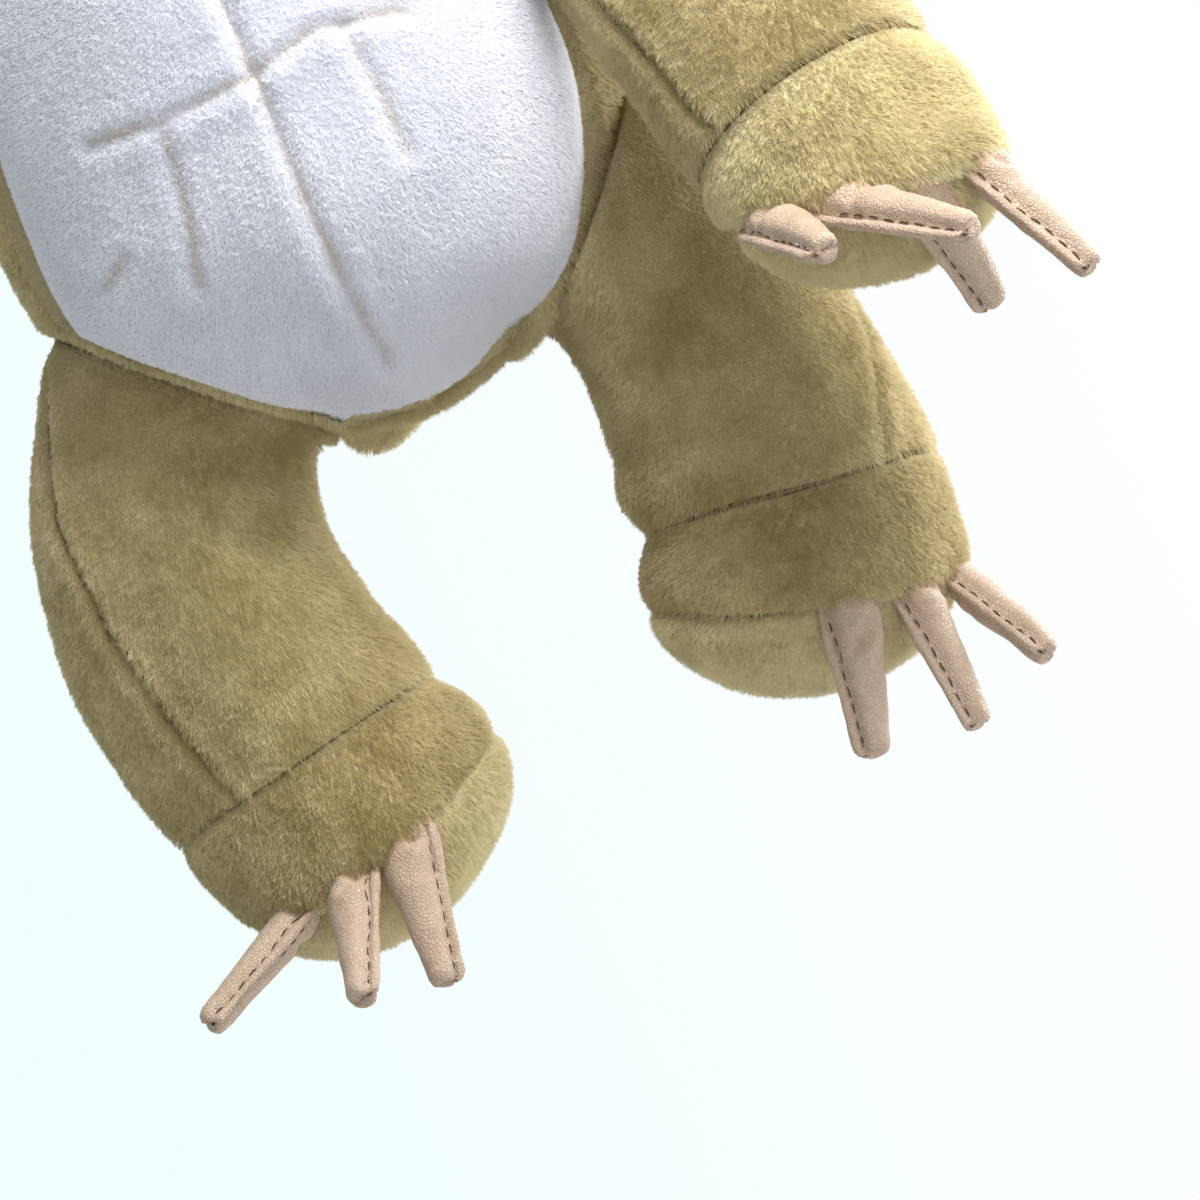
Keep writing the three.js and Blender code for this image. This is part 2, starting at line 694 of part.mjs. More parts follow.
// Nose: a padded oval on the face
const noseUp = 41;
const noseHalfWidth = 8;
const noseHalfHeight = 5.6;
const noseProud = 5;
const noseBall = new THREE.SphereGeometry(1, 14, 8);
const noseSpot = onFace(headForm(0), 0, noseUp);
noseBall.scale(noseHalfWidth, noseProud, noseHalfHeight);
noseBall.translate(0, noseSpot.point.y, noseUp);
head.add(piece('nose', mainBody(solid(noseBall).subtract(headForm(seamGap))), noseFabric));

// Mouth: a line of thick embroidery that turns up at its ends
const mouthHalfWidth = 12;
const mouthUp = 27;
const mouthCurl = 3;
const threadRadius = 0.7;
const mouthSteps = 8;
const mouthPoints = Array.from({ length: mouthSteps + 1 }, (_, i) => {
  const share = (2 * i) / mouthSteps - 1;
  const spot = onFace(headForm(0), share * mouthHalfWidth, mouthUp + mouthCurl * share ** 2);
  return spot.point.addScaledVector(spot.face.normal, 2 * seamGap + threadRadius);
});
const threadSection = new THREE.Shape();
threadSection.absarc(0, 0, threadRadius, 0, 2 * Math.PI, false);
head.add(piece('mouth_stitch', solid(new THREE.ExtrudeGeometry(threadSection, {
  steps: mouthSteps,
  extrudePath: new THREE.CatmullRomCurve3(mouthPoints),
  curveSegments: 3,
})), noseFabric));
torso.add(head);

const sloth = new THREE.Group();
sloth.name = 'plush_sloth';
sloth.add(torso);

export default sloth;
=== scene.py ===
import json
import math

import bpy
import bmesh
import numpy as np
from mathutils import Matrix, Quaternion, Vector, noise
from mathutils.bvhtree import BVHTree


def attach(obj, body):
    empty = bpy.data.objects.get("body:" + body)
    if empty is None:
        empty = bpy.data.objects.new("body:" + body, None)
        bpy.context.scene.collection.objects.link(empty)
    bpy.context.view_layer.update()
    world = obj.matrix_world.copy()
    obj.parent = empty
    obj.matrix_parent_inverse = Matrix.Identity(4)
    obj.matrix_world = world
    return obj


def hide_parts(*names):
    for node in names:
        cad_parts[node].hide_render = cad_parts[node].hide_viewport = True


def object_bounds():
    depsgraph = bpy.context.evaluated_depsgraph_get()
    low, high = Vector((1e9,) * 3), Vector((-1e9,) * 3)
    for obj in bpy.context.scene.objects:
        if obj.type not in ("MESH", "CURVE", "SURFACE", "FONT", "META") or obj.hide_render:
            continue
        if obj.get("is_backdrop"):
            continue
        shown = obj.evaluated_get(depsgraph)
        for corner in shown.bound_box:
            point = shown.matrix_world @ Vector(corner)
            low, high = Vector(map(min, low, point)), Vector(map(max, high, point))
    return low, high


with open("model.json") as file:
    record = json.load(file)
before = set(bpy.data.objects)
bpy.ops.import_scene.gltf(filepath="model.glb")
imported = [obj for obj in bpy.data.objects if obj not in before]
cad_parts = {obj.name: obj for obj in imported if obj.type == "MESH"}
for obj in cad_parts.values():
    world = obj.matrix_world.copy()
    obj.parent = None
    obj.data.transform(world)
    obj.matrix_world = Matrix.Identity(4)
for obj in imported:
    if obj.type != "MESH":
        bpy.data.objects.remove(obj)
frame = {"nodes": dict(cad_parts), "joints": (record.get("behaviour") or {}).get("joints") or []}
cad_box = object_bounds()

# Torso back
# Tan plush with a short combed pile, sewn from panels round the sides and back and stuffed with
# fibre. The belly panel is sewn into the hole in its front, and the limbs round flat discs.
MM = 0.001
SKIN_STEP = 1.4 * MM  # between the points of a plush skin
PILE, PILE_COUNT = 1.9 * MM, 6  # its strands' length, and how many stand on a square millimetre
STRAND_WIDTH = 0.12 * MM
PILE_ROOM = 1.2 * MM  # the backing lies this far inside the solid's side, so that the pile fills it
SEAM_GAP = 0.3 * MM  # between the solids on each side of a round seam
TORSO_HEIGHT, TORSO_WIDTH, TORSO_DEPTH = 165 * MM, 125 * MM, 108 * MM
TAN, TAN_SHADE = (0.58, 0.49, 0.27), (0.42, 0.34, 0.17)
SIDES = {"left": 1, "right": -1}
FRONT, DOWN = Vector((0, -1, 0)), Vector((0, 0, -1))


def way_down(side, lean, pitch):
    """The way down a limb: lean turns it to the toy's outer side, pitch turns it to the front."""
    lean, pitch = math.radians(lean), math.radians(pitch)
    return Vector((
        side * math.sin(lean),
        -math.sin(pitch) * math.cos(lean),
        -math.cos(pitch) * math.cos(lean),
    ))


def level_rings(shares, height, width, depth, base=0.0):
    """Level ovals from shares of a form's height, half width and half depth, each set forward by a share."""
    return [
        (Vector((0, -forward * depth / 2, base + level * height)), DOWN, wide * width / 2, deep * depth / 2)
        for level, wide, deep, forward in shares
    ]


def smooth_rows(rings):
    """More rings between the given ones, on a smooth curve through them."""
    table = np.array([[*centre, *facing, wide, deep] for centre, facing, wide, deep in rings])
    rows = []
    for i, (a, b) in enumerate(zip(table[:-1], table[1:])):
        before = table[i - 1] if i else 2 * a - b
        after = table[i + 2] if i + 2 < len(table) else 2 * b - a
        run = np.linalg.norm(b[:3] - a[:3]) + abs(b[6] - a[6])
        steps = max(1, math.ceil(run / SKIN_STEP))
        for t in np.arange(steps) / steps:
            rows.append(0.5 * (2 * a + (b - before) * t + (2 * before - 5 * a + 4 * b - after) * t ** 2
                               + (3 * a - before - 3 * b + after) * t ** 3))
    rows.append(table[-1])
    return rows


def turns(sides):
    """The angles of points round a ring."""
    return 2 * math.pi * np.arange(sides) / sides


THIN_RING, LEAST_RING = 6 * MM, 0.05 * MM  # thinner rings are drawn in less, and none is smaller


def ring_points(row, sides, room):
    """The points of a ring, drawn in to leave room for the pile."""
    centre, facing = row[:3], row[3:6] / np.linalg.norm(row[3:6])
    front = np.array(FRONT) - facing * np.dot(np.array(FRONT), facing)
    front /= np.linalg.norm(front)
    across = np.cross(front, facing)
    turn = turns(sides)
    wide, deep = np.maximum(row[6:8] - room * min(1, min(row[6:8]) / THIN_RING), LEAST_RING)
    return centre + np.outer(wide * np.cos(turn), across) + np.outer(deep * np.sin(turn), front)


def tube_faces(rows, sides, first=0):
    """The faces round rows of points, and one over each end."""
    faces, last = [], first + (rows - 1) * sides
    for here in range(first, last, sides):
        for i in range(sides):
            a, b = here + i, here + (i + 1) % sides
            faces.append((a, b, b + sides, a + sides))
    return faces + [tuple(range(first, first + sides)), tuple(range(last, last + sides))]


def form_mesh(name, rings, place=Matrix.Identity(4), room=PILE_ROOM):
    """A closed smooth skin through rings of points, ending in a point at the middle of each end."""
    rows = smooth_rows(rings)
    sides = max(12, round(2 * math.pi * max(max(row[6:8]) for row in rows) / SKIN_STEP / 4) * 4)
    points = np.concatenate([ring_points(row, sides, room) for row in rows] + [[rows[0][:3]], [rows[-1][:3]]])
    points = points @ np.array(place.to_3x3()).T + np.array(place.translation)
    faces = tube_faces(len(rows), sides)[:-2]
    first = len(rows) * sides
    end = first - sides
    faces += [(first, (i + 1) % sides, i) for i in range(sides)]
    faces += [(first + 1, end + i, end + (i + 1) % sides) for i in range(sides)]
    return closed(name, points, faces)


def new_object(name, data):
    made = bpy.data.objects.new(name, data)
    bpy.context.scene.collection.objects.link(made)
    return made


def closed(name, points, faces, *materials):
    """A smooth-shaded object from points and faces, with its faces turned outwards."""
    mesh = bpy.data.meshes.new(name)
    mesh.from_pydata([tuple(p) for p in points], [], faces)
    work = bmesh.new()
    work.from_mesh(mesh)
    bmesh.ops.recalc_face_normals(work, faces=work.faces)
    work.to_mesh(mesh)
    work.free()
    mesh.shade_smooth()
    for material in materials:
        mesh.materials.append(material)
    return new_object(name, mesh)


def loft(name, rows, material):
    """A closed form through rows of points, flat at its ends."""
    points = [point for row in rows for point in row]
    return closed(name, points, tube_faces(len(rows), len(rows[0])), material)


def points_of(made):
    points = np.zeros(len(made.data.vertices) * 3)
    made.data.vertices.foreach_get("co", points)
    return points.reshape(-1, 3)


def normals_of(made):
    normals = np.zeros(len(made.data.vertices) * 3)
    made.data.vertex_normals.foreach_get("vector", normals)
    return normals.reshape(-1, 3)


def put_points(made, points):
    made.data.vertices.foreach_set("co", np.ascontiguousarray(points, np.float32).ravel())
    made.data.update()


def mold(made, *moves):
    """Moves a skin's points along their normals by the sum of what the moves say, in metres."""
    points, normals = points_of(made), normals_of(made)
    put_points(made, points + normals * sum(move(points, normals) for move in moves)[:, None])


def past_plane(points, place, facing):
    """How far each point lies past the plane through a place."""
    return (points - np.array(place)) @ np.array(facing)


def press(made, place, facing, reach=1.0):
    """Flattens a skin against the plane that it passes, within reach of a place."""
    points, way = points_of(made), np.array(facing)
    past = past_plane(points, place, facing)
    away = np.linalg.norm(points - np.array(place) - np.outer(past, way), axis=1)
    held = np.clip((reach - away) / (0.2 * reach), 0, 1)
    put_points(made, points - np.outer(np.maximum(past, 0) * held, way))


def path_distance(points, path, flat=False):
    """How far each point lies from a line of straight runs, in the picture plane alone if flat."""
    keep = [0, 2] if flat else [0, 1, 2]
    points, path = points[:, keep], np.array(path)[:, keep]
    nearest = np.full(len(points), 1e3)
    for a, b in zip(path[:-1], path[1:]):
        t = np.clip((points - a) @ (b - a) / ((b - a) @ (b - a)), 0, 1)
        nearest = np.minimum(nearest, np.linalg.norm(points - a - np.outer(t, b - a), axis=1))
    return nearest


def groove(path, width, depth, lip=0.0, flat=False):
    """A sewn line that draws the plush in, with a lip of pile beside it."""
    def move(points, normals):
        away = path_distance(points, path, flat) / width
        return -depth * np.exp(-away ** 2) + lip * np.exp(-((away - 2) / 1.2) ** 2)
    return move


def swell(spot, reach, height):
    """A soft rise of a skin round a place."""
    def move(points, normals):
        away = np.linalg.norm(points - np.array(spot), axis=1)
        return height * np.exp(-(away / reach) ** 2)
    return move


def lumps(size, height, seed):
    """Soft unevenness of the stuffing."""
    def move(points, normals):
        shift = Vector((seed * 7.3, seed * 3.1, seed * 5.7))
        return np.array([height * noise.noise(Vector(p) / size + shift) for p in points])
    return move


BARE_SEAM = 0.8 * MM


def by_seam(points, path, flat=False):
    """1 on a sewn line, where no pile stands, and 0 beside it."""
    return np.exp(-(path_distance(points, path, flat) / BARE_SEAM) ** 2)


class Wire:
    """A socket of a material's node tree. Arithmetic on it adds Math nodes."""

    def __init__(self, tree, socket=None):
        self.tree, self.socket = tree, socket

    def node(self, kind, settings=(), values=(), out=0):
        made = self.tree.nodes.new(kind)
        for name, value in dict(settings).items():
            setattr(made, name, value)
        for key, value in dict(values).items():
            if isinstance(value, Wire):
                self.tree.links.new(value.socket, made.inputs[key])
            else:
                made.inputs[key].default_value = value
        return Wire(self.tree, made.outputs[out] if made.outputs else None)

    def maths(self, operation, *values):
        return self.node("ShaderNodeMath", {"operation": operation}, dict(enumerate(values)))

    def __add__(self, other):
        return self.maths("ADD", self, other)

    __radd__ = __add__

    def __mul__(self, other):
        return self.maths("MULTIPLY", self, other)

    __rmul__ = __mul__

    def __sub__(self, other):
        return self.maths("SUBTRACT", self, other)

    def __rsub__(self, other):
        return self.maths("SUBTRACT", other, self)

    def vector(self, operation, a, b, out=0):
        second = 3 if operation == "SCALE" else 1
        return self.node("ShaderNodeVectorMath", {"operation": operation}, {0: a, second: b}, out)

    def between(self, low, high):
        """0 below low, 1 above high, and straight between."""
        return self.node("ShaderNodeMapRange", {}, {"Value": self, "From Min": low, "From Max": high})

    def mix(self, a, b):
        """Colour a where this is 0 and colour b where it is 1."""
        colours = {6: a if isinstance(a, Wire) else (*a, 1), 7: b if isinstance(b, Wire) else (*b, 1)}
        return self.node("ShaderNodeMix", {"data_type": "RGBA"}, {0: self, **colours}, 2)


def emptied(holder):
    """The cleared node tree of a material or the world."""
    holder.use_nodes = True
    holder.node_tree.nodes.clear()
    return Wire(holder.node_tree)


def new_material(name):
    """A material, and the place on the object, from which its patterns start."""
    material = bpy.data.materials.new(name)
    return material, emptied(material).node("ShaderNodeTexCoord", out="Object")


def finish_material(shader):
    shader.node("ShaderNodeOutputMaterial", {}, {"Surface": shader})


def noise_at(place, size, detail=2.0, rough=0.5):
    """Noise with patches of about the given size, from 0 to 1."""
    values = {"Vector": place, "Scale": 1 / size, "Detail": detail, "Roughness": rough}
    return place.node("ShaderNodeTexNoise", {}, values).between(0.3, 0.7)


BRUSHED = 9 * MM  # the patches in which the pile lies one way


def plush(name, light, shade, tuft, painted_shade):
    """Short pile: tufts and brushed patches that part to the darker backing."""
    material, place = new_material(name)
    tufts = noise_at(place, tuft, 3.0, 0.6)
    brushed = noise_at(place, BRUSHED)
    worn = noise_at(place, 42 * MM)
    colour = (tufts * 0.45 + brushed * 0.3 + worn * 0.25).mix(shade, light)
    finish_material(place.node("ShaderNodeBsdfPrincipled", {}, {
        # painted shade is laid on the colour here where a function for it is given (the belly's creases)
        "Base Color": painted_shade(place, colour) if painted_shade else colour,
        "Roughness": 0.9,
        "Specular IOR Level": 0.2,
        "Sheen Weight": 0.25,
        "Sheen Roughness": 0.5,
        "Normal": place.node("ShaderNodeBump", {}, {
            "Strength": 0.7, "Distance": 0.9 * MM, "Height": tufts + brushed * 0.6,
        }),
    }))
    return material


def strands(name, light, shade, painted_shade):
    """The fibres of the pile, paler than the whole because each shades the others, and lit through."""
    material, place = new_material(name)
    body = noise_at(place, 1.4 * MM, 3.0) * 0.3 + noise_at(place, BRUSHED, 3.0) * 0.35
    colour = (body + noise_at(place, 30 * MM) * 0.35).between(0.25, 0.75).mix(shade, light)
    lit = place.node("ShaderNodeBsdfPrincipled", {}, {
        # painted shade is laid on the strands' colour here where a function for it is given
        "Base Color": painted_shade(place, colour) if painted_shade else colour,
        "Roughness": 0.9,
        "Specular IOR Level": 0.1,
    })
    through = place.node("ShaderNodeBsdfTranslucent", {}, {"Color": (*light, 1)})
    finish_material(place.node("ShaderNodeMixShader", {}, {0: 0.35, 1: lit, 2: through}))
    return material


def fabric(name, light, shade, strand_light, strand_shade, tuft=1.3 * MM, painted_shade=None):
    """A plush and the strands that stand on it."""
    backing = plush(f"{name}_plush", light, shade, tuft, painted_shade)
    return backing, strands(f"{name}_strands", strand_light, strand_shade, painted_shade)


def pile(made, fabrics, nap, seed, bare, length=PILE, per_mm2=PILE_COUNT):
    """Covers a skin in short strands in small tufts, combed along the nap, but for where it is bare."""
    for material in fabrics:
        made.data.materials.append(material)
    weights = np.round(np.clip(1 - bare, 0, 1), 1)
    group = made.vertex_groups.new(name="pile")
    for level in np.unique(weights):
        group.add(np.flatnonzero(weights == level).tolist(), float(level), "REPLACE")
    area = sum(face.area for face in made.data.polygons) / MM ** 2
    made.modifiers.new("pile", "PARTICLE_SYSTEM")
    system = made.particle_systems[-1]
    system.seed = seed
    children = 4  # strands round each that is placed
    speed = length / 4  # a strand grows to four times its speed
    for name, value in {
        "type": "HAIR", "count": int(area * per_mm2 / children), "use_advanced_hair": True,
        "hair_step": 3, "render_step": 2, "display_step": 2,
        "emit_from": "FACE", "use_even_distribution": True, "distribution": "RAND",
        "normal_factor": 0.65 * speed, "object_align_factor": tuple(Vector(nap) * speed),
        "factor_random": 0.3 * speed, "child_type": "INTERPOLATED", "rendered_child_count": children,
        "child_percent": 0, "clump_factor": 0.1, "clump_shape": 0.1, "roughness_2": 0.3 * length,
        "root_radius": 1.0, "tip_radius": 0.4, "radius_scale": STRAND_WIDTH, "shape": 0.2, "material": 2,
    }.items():
        setattr(system.settings, name, value)
    system.vertex_group_density = "pile"


TORSO_SHARES = [
    (1, 0.5, 0.52, 0), (0.96, 0.63, 0.64, 0.01), (0.89, 0.75, 0.74, 0.02), (0.79, 0.845, 0.83, 0.04),
    (0.66, 0.92, 0.91, 0.07), (0.52, 0.975, 0.97, 0.1), (0.38, 1, 1, 0.11), (0.25, 0.965, 0.97, 0.1),
    (0.14, 0.83, 0.83, 0.07), (0.065, 0.63, 0.62, 0.04), (0.02, 0.43, 0.42, 0.02), (0, 0.27, 0.27, 0.01),
]
HIPS = {  # places in millimetres, and angles in degrees
    "left": {"place": (44.5, 5, 24.5), "pitch": -14, "gather": 0.86},
    "right": {"place": (37.5, 3, 24.1), "pitch": 0, "gather": 1},
}
HIP_LEAN, SHOULDER_LEAN = 44.7, 103
SHOULDER_OUT, SHOULDER_BACK, SHOULDER_UP = 48, 2, 133
hips, shoulders = {}, {}  # the middle of each round seam, and its way out of the torso
for name, side in SIDES.items():
    out, back, up = HIPS[name]["place"]
    hips[name] = Vector((side * out, back, up)) * MM, way_down(side, HIP_LEAN, HIPS[name]["pitch"])
    at = Vector((side * SHOULDER_OUT, SHOULDER_BACK, SHOULDER_UP)) * MM
    shoulders[name] = at, way_down(side, SHOULDER_LEAN, 0)
TAIL_PITCH = -64
tail_root, tail_way = Vector((0, 37, 24)) * MM, way_down(1, 0, TAIL_PITCH)
torso_discs = [(*hip, 30 * MM) for hip in hips.values()]
torso_discs += [(*shoulder, 24 * MM) for shoulder in shoulders.values()]
torso_discs += [(tail_root, tail_way, 12 * MM), (Vector((0, 0, TORSO_HEIGHT)), -DOWN, 26 * MM)]
BELLY_ABOVE, BELLY_BELOW, BELLY_HALF_WIDTH = 90 * MM, 58.4 * MM, 57.5 * MM
BELLY_FOOT, BELLY_ASIDE = -1 * MM, 1.5 * MM
BELLY_TURN = 0.1  # the belly ends where the cover faces the front by less than this share
HIP_RIM = 3 * MM  # of tan cover between the belly and each leg
PANEL_SINK, PANEL_DRAW, PANEL_EDGE = 3.6 * MM, 0.8 * MM, 3 * MM
SEAM_GROOVE = 1.6 * MM, 1.5 * MM, 0.8 * MM  # its width, its depth, and the lip of pile beside it


def belly_ratio(points, normals):
    """How far out a point of the front lies in the belly oval: 1 on its edge."""
    up = points[:, 2] - BELLY_FOOT - BELLY_BELOW
    tall = np.where(up > 0, BELLY_ABOVE, BELLY_BELOW)
    ratio = np.hypot((points[:, 0] - BELLY_ASIDE) / BELLY_HALF_WIDTH, up / tall)
    for hip in hips.values():
        ratio = np.maximum(ratio, 1 + (past_plane(points, *hip) + HIP_RIM) / BELLY_HALF_WIDTH)
    return np.maximum(ratio, 1 + (normals[:, 1] + BELLY_TURN) * 0.5)


def under_panel(away):
    """A cover makes room for the panel sewn into it, and is drawn in along its seam."""
    away = away / PANEL_EDGE
    return -PANEL_SINK * np.clip(0.5 - away, 0, 1) - PANEL_DRAW * np.exp(-away ** 2)


def under_belly(points, normals):
    return under_panel((belly_ratio(points, normals) - 1) * BELLY_HALF_WIDTH)


def on_discs(points, discs, depth):
    """1 where a point lies on one of the flat discs, fading over depth."""
    on = np.zeros(len(points))
    for place, facing, radius in discs:
        away = np.linalg.norm(points - np.array(place), axis=1)
        on = np.maximum(on, (1 + past_plane(points, place, facing) / depth) * (away < radius))
    return np.clip(on, 0, 1)


def surface_of(made):
    return BVHTree.FromPolygons([v.co for v in made.data.vertices], [p.vertices for p in made.data.polygons])


def rod_rows(path, sizes, sides, over=None):
    """Rings of points along a path, each of its own size."""
    rows = []
    for i, (centre, size) in enumerate(zip(path, sizes)):
        run = (path[min(i + 1, len(path) - 1)] - path[max(i - 1, 0)]).normalized()
        front = (run.orthogonal() if over is None else over - run * over.dot(run)).normalized()
        out = run.cross(front)
        rows.append([centre + (out * math.cos(t) + front * math.sin(t)) * size for t in turns(sides)])
    return rows


def rods(name, paths, radius, material, sides=6):
    """Closed round rods along paths, blunt at their ends."""
    points, faces = [], []
    for path in paths:
        faces += tube_faces(len(path), sides, len(points))
        sizes = [0.35 * radius, *[radius] * (len(path) - 2), 0.35 * radius]
        points += [point for row in rod_rows(path, sizes, sides) for point in row]
    return closed(name, points, faces, material)


def thread(name, colour):
    material, place = new_material(name)
    twist = noise_at(place, 0.3 * MM)
    finish_material(place.node("ShaderNodeBsdfPrincipled", {}, {
        "Base Color": twist.mix(tuple(c * 0.6 for c in colour), colour),
        "Roughness": 0.8,
    }))
    return material


# dark brown seam thread: partly the backing in the seams, partly painted shade in their crevices
seam_thread = thread("seam_thread", (0.26, 0.2, 0.11))


def shaded_seam_line(name, line, radius, body):
    """The dark line of a seam, where the backing shows between the tufts: its dark thread is also painted
    shade of the seam's crevice.
    """
    made = rods(name, [line], radius, seam_thread)
    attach(made, body)


def sewn_line(name, skin, path, body):
    """A seam's dark line, laid along a skin, its darkness partly painted shade."""
    tree = surface_of(skin)
    dense = []
    for a, b in zip(path[:-1], path[1:]):
        steps = max(1, round((b - a).length / (1.5 * MM)))
        dense += [a.lerp(b, k / steps) for k in range(steps)]
    line = []
    for spot in dense + [path[-1]]:
        nearest, normal, _, _ = tree.find_nearest(spot)
        line.append(nearest + normal * 0.1 * MM)
    shaded_seam_line(name, line, 0.3 * MM, body)


FLANK, FLANK_REACH, FLANK_RISE = Vector((61, 4, 54)) * MM, 18 * MM, 7 * MM


def torso_form(name):
    made = form_mesh(name, level_rings(TORSO_SHARES, TORSO_HEIGHT, TORSO_WIDTH, TORSO_DEPTH), room=0)
    for place, facing, _ in torso_discs:
        press(made, place, facing)
    mold(made, lambda points, normals: -1.5 * PILE_ROOM * (1 - on_discs(points, torso_discs, 5 * MM)),
         swell(FLANK, FLANK_REACH, FLANK_RISE))
    return made


TUCK_MIDDLE, TUCK_WIDTH, TUCK_REACH = 5 * MM, 20 * MM, 24 * MM
TUCK_LEAST, TUCK_MORE = 1.5, 5  # millimetres up in the middle, and how much more to its sides


def tuck(made):
    """Rounds the underside up between the legs, and less by their seams."""
    points = points_of(made)
    aside = (points[:, 0] - TUCK_MIDDLE) / TUCK_WIDTH
    rise = (TUCK_LEAST + TUCK_MORE * np.minimum(aside ** 2, 1)) * MM * np.exp(-(aside / 1.45) ** 4)
    for hip in hips.values():
        rise *= np.clip(0.4 + abs(past_plane(points, *hip)) / (8 * MM), 0, 1)
    points[:, 2] += rise * np.clip(1 - abs(points[:, 2] - 2 * MM) / TUCK_REACH, 0, 1)
    put_points(made, points)


tan = fabric("tan", TAN, TAN_SHADE, (0.8, 0.72, 0.48), (0.45, 0.36, 0.16))
torso = torso_form("torso_back")
torso_tree = surface_of(torso)
back_seam = [torso_tree.ray_cast(Vector((0, 1, z * MM)), FRONT)[0] for z in range(160, 40, -6)]
mold(torso, under_belly, lumps(26 * MM, 0.9 * MM, 1), groove(back_seam, *SEAM_GROOVE))
points, normals = points_of(torso), normals_of(torso)
covered = np.maximum(belly_ratio(points, normals) < 1.02, by_seam(points, back_seam))
tuck(torso)
for place, facing, _ in torso_discs:
    press(torso, place, facing)
sewn_line("back_seam", torso, back_seam, "torso")
covered = np.maximum(on_discs(points_of(torso), torso_discs, 1 * MM), covered)
pile(torso, tan, (0, 0, -0.7), 11, covered)
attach(torso, "torso")
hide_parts("torso_back_cover", "torso_filling")

# Belly
# A white plush oval with a softer, denser pile, sewn into the front. Lines of creasing run down
# its middle and across it where the stuffing gathers, and darker beige shade is painted along them.
WHITE, WHITE_SHADE = (0.84, 0.85, 0.91), (0.74, 0.75, 0.81)
BELLY_THICK = 3 * MM
# painted shade: the darker beige of the belly's creases, and how far beside them it spreads
CREASE_SHADE_COLOUR, CREASE_SHADE_WIDTH = (0.78, 0.7, 0.62), 1.7 * MM
EDGE_TURN = 0.08  # a form's edge is where it faces the front by no more than this share


def front_of(tree, centre, flat):
    """The point of a form straight behind a place in front of it, or the nearest one past its edge."""
    aim, way = Vector((centre[0], -1, centre[1])), -FRONT
    for share in np.arange(1, 0, -0.01):
        spot, normal, _, _ = tree.ray_cast(aim + flat * share, way)
        if spot and normal.y < -EDGE_TURN:
            break
    if share < 1:
        past = aim + flat
        spot, normal, _, _ = tree.find_nearest(Vector((past.x, spot.y, past.z)))
    return spot, normal


def front_panel(name, tree, centre, half_wide, half_high, half_low, low, high, tilt=0.0, edge=2.2 * MM):
    """A panel on the front of a form, inside an oval.

    Its back lies low above the form's skin and its face high, less at the edge.
    """
    rings = max(6, round(max(half_wide, half_high, half_low) / SKIN_STEP))
    sides = max(24, round(2 * math.pi * max(half_wide, half_high) / SKIN_STEP))
    outer, inner = [], []
    turned = Matrix.Rotation(tilt, 3, "Y")
    for r in range(rings + 1):
        ratio = r / rings
        for i in range(sides if r else 1):
            turn = 2 * math.pi * i / sides
            tall = half_high if math.sin(turn) > 0 else half_low
            flat = turned @ Vector((ratio * half_wide * math.cos(turn), 0, ratio * tall * math.sin(turn)))
            spot, normal = front_of(tree, centre, flat)
            rim = math.exp(-((1 - ratio) * half_wide / edge) ** 2)
            outer.append(spot + normal * (high - (high - low) * 0.85 * rim))
            inner.append(spot + normal * low)
    count = len(outer)
    faces = []
    for r in range(rings):
        for i in range(sides):
            n = (i + 1) % sides
            a, b = 1 + (r - 1) * sides + i, 1 + (r - 1) * sides + n
            c, d = 1 + r * sides + i, 1 + r * sides + n
            quad = (0, c, d) if r == 0 else (a, c, d, b)
            faces += [quad, tuple(v + count for v in reversed(quad))]
    last = 1 + (rings - 1) * sides
    for i in range(sides):
        a, b = last + i, last + (i + 1) % sides
        faces.append((a, b, b + count, a + count))
    return closed(name, outer + inner, faces)


belly_creases = [[Vector(p) * MM for p in path] for path in [
    [(0, 0, 96), (0.3, 0, 70), (-0.3, 0, 50), (-0.5, 0, 27), (1, 0, 12)],
    [(-33, 0, 71), (-19, 0, 69), (-2, 0, 69.5), (15, 0, 73), (31, 0, 70)],
    [(19, 0, 71), (20.5, 0, 59), (20.5, 0, 46)],
    [(-20, 0, 66), (-21.5, 0, 53), (-25, 0, 39)],
    [(-42, 0, 46), (-36, 0, 49)],
]]
CREASE_DEPTHS = (1.1, 0.8, 0.6, 0.6, 0.4)


def crease_shade(place, colour):
    """Paints shade on the belly along its creases: wandering, patchy darker lines that fade out beside them.
    """
    swirl = place.node("ShaderNodeTexNoise", {}, {"Vector": place, "Scale": 1 / (7 * MM)}, 1)
    swirl = place.vector("SUBTRACT", swirl, (0.5, 0.5, 0.5))
    bent = place.vector("ADD", place, place.vector("SCALE", swirl, 2.4 * MM))
    flat, nearest = place.vector("MULTIPLY", bent, (1, 0, 1)), None
    for path in belly_creases:
        for a, b in zip(path[:-1], path[1:]):
            past, run = place.vector("SUBTRACT", flat, a), b - a
            along = place.vector("DOT_PRODUCT", past, run / run.length_squared, 1).between(0, 1)
            away = place.vector("DISTANCE", past, place.vector("SCALE", run, along), 1)
            nearest = away if nearest is None else place.maths("MINIMUM", nearest, away)
    in_crease_shade = nearest.between(CREASE_SHADE_WIDTH, 0) * noise_at(place, 10 * MM, 3.0)
    return in_crease_shade.mix(colour, CREASE_SHADE_COLOUR)


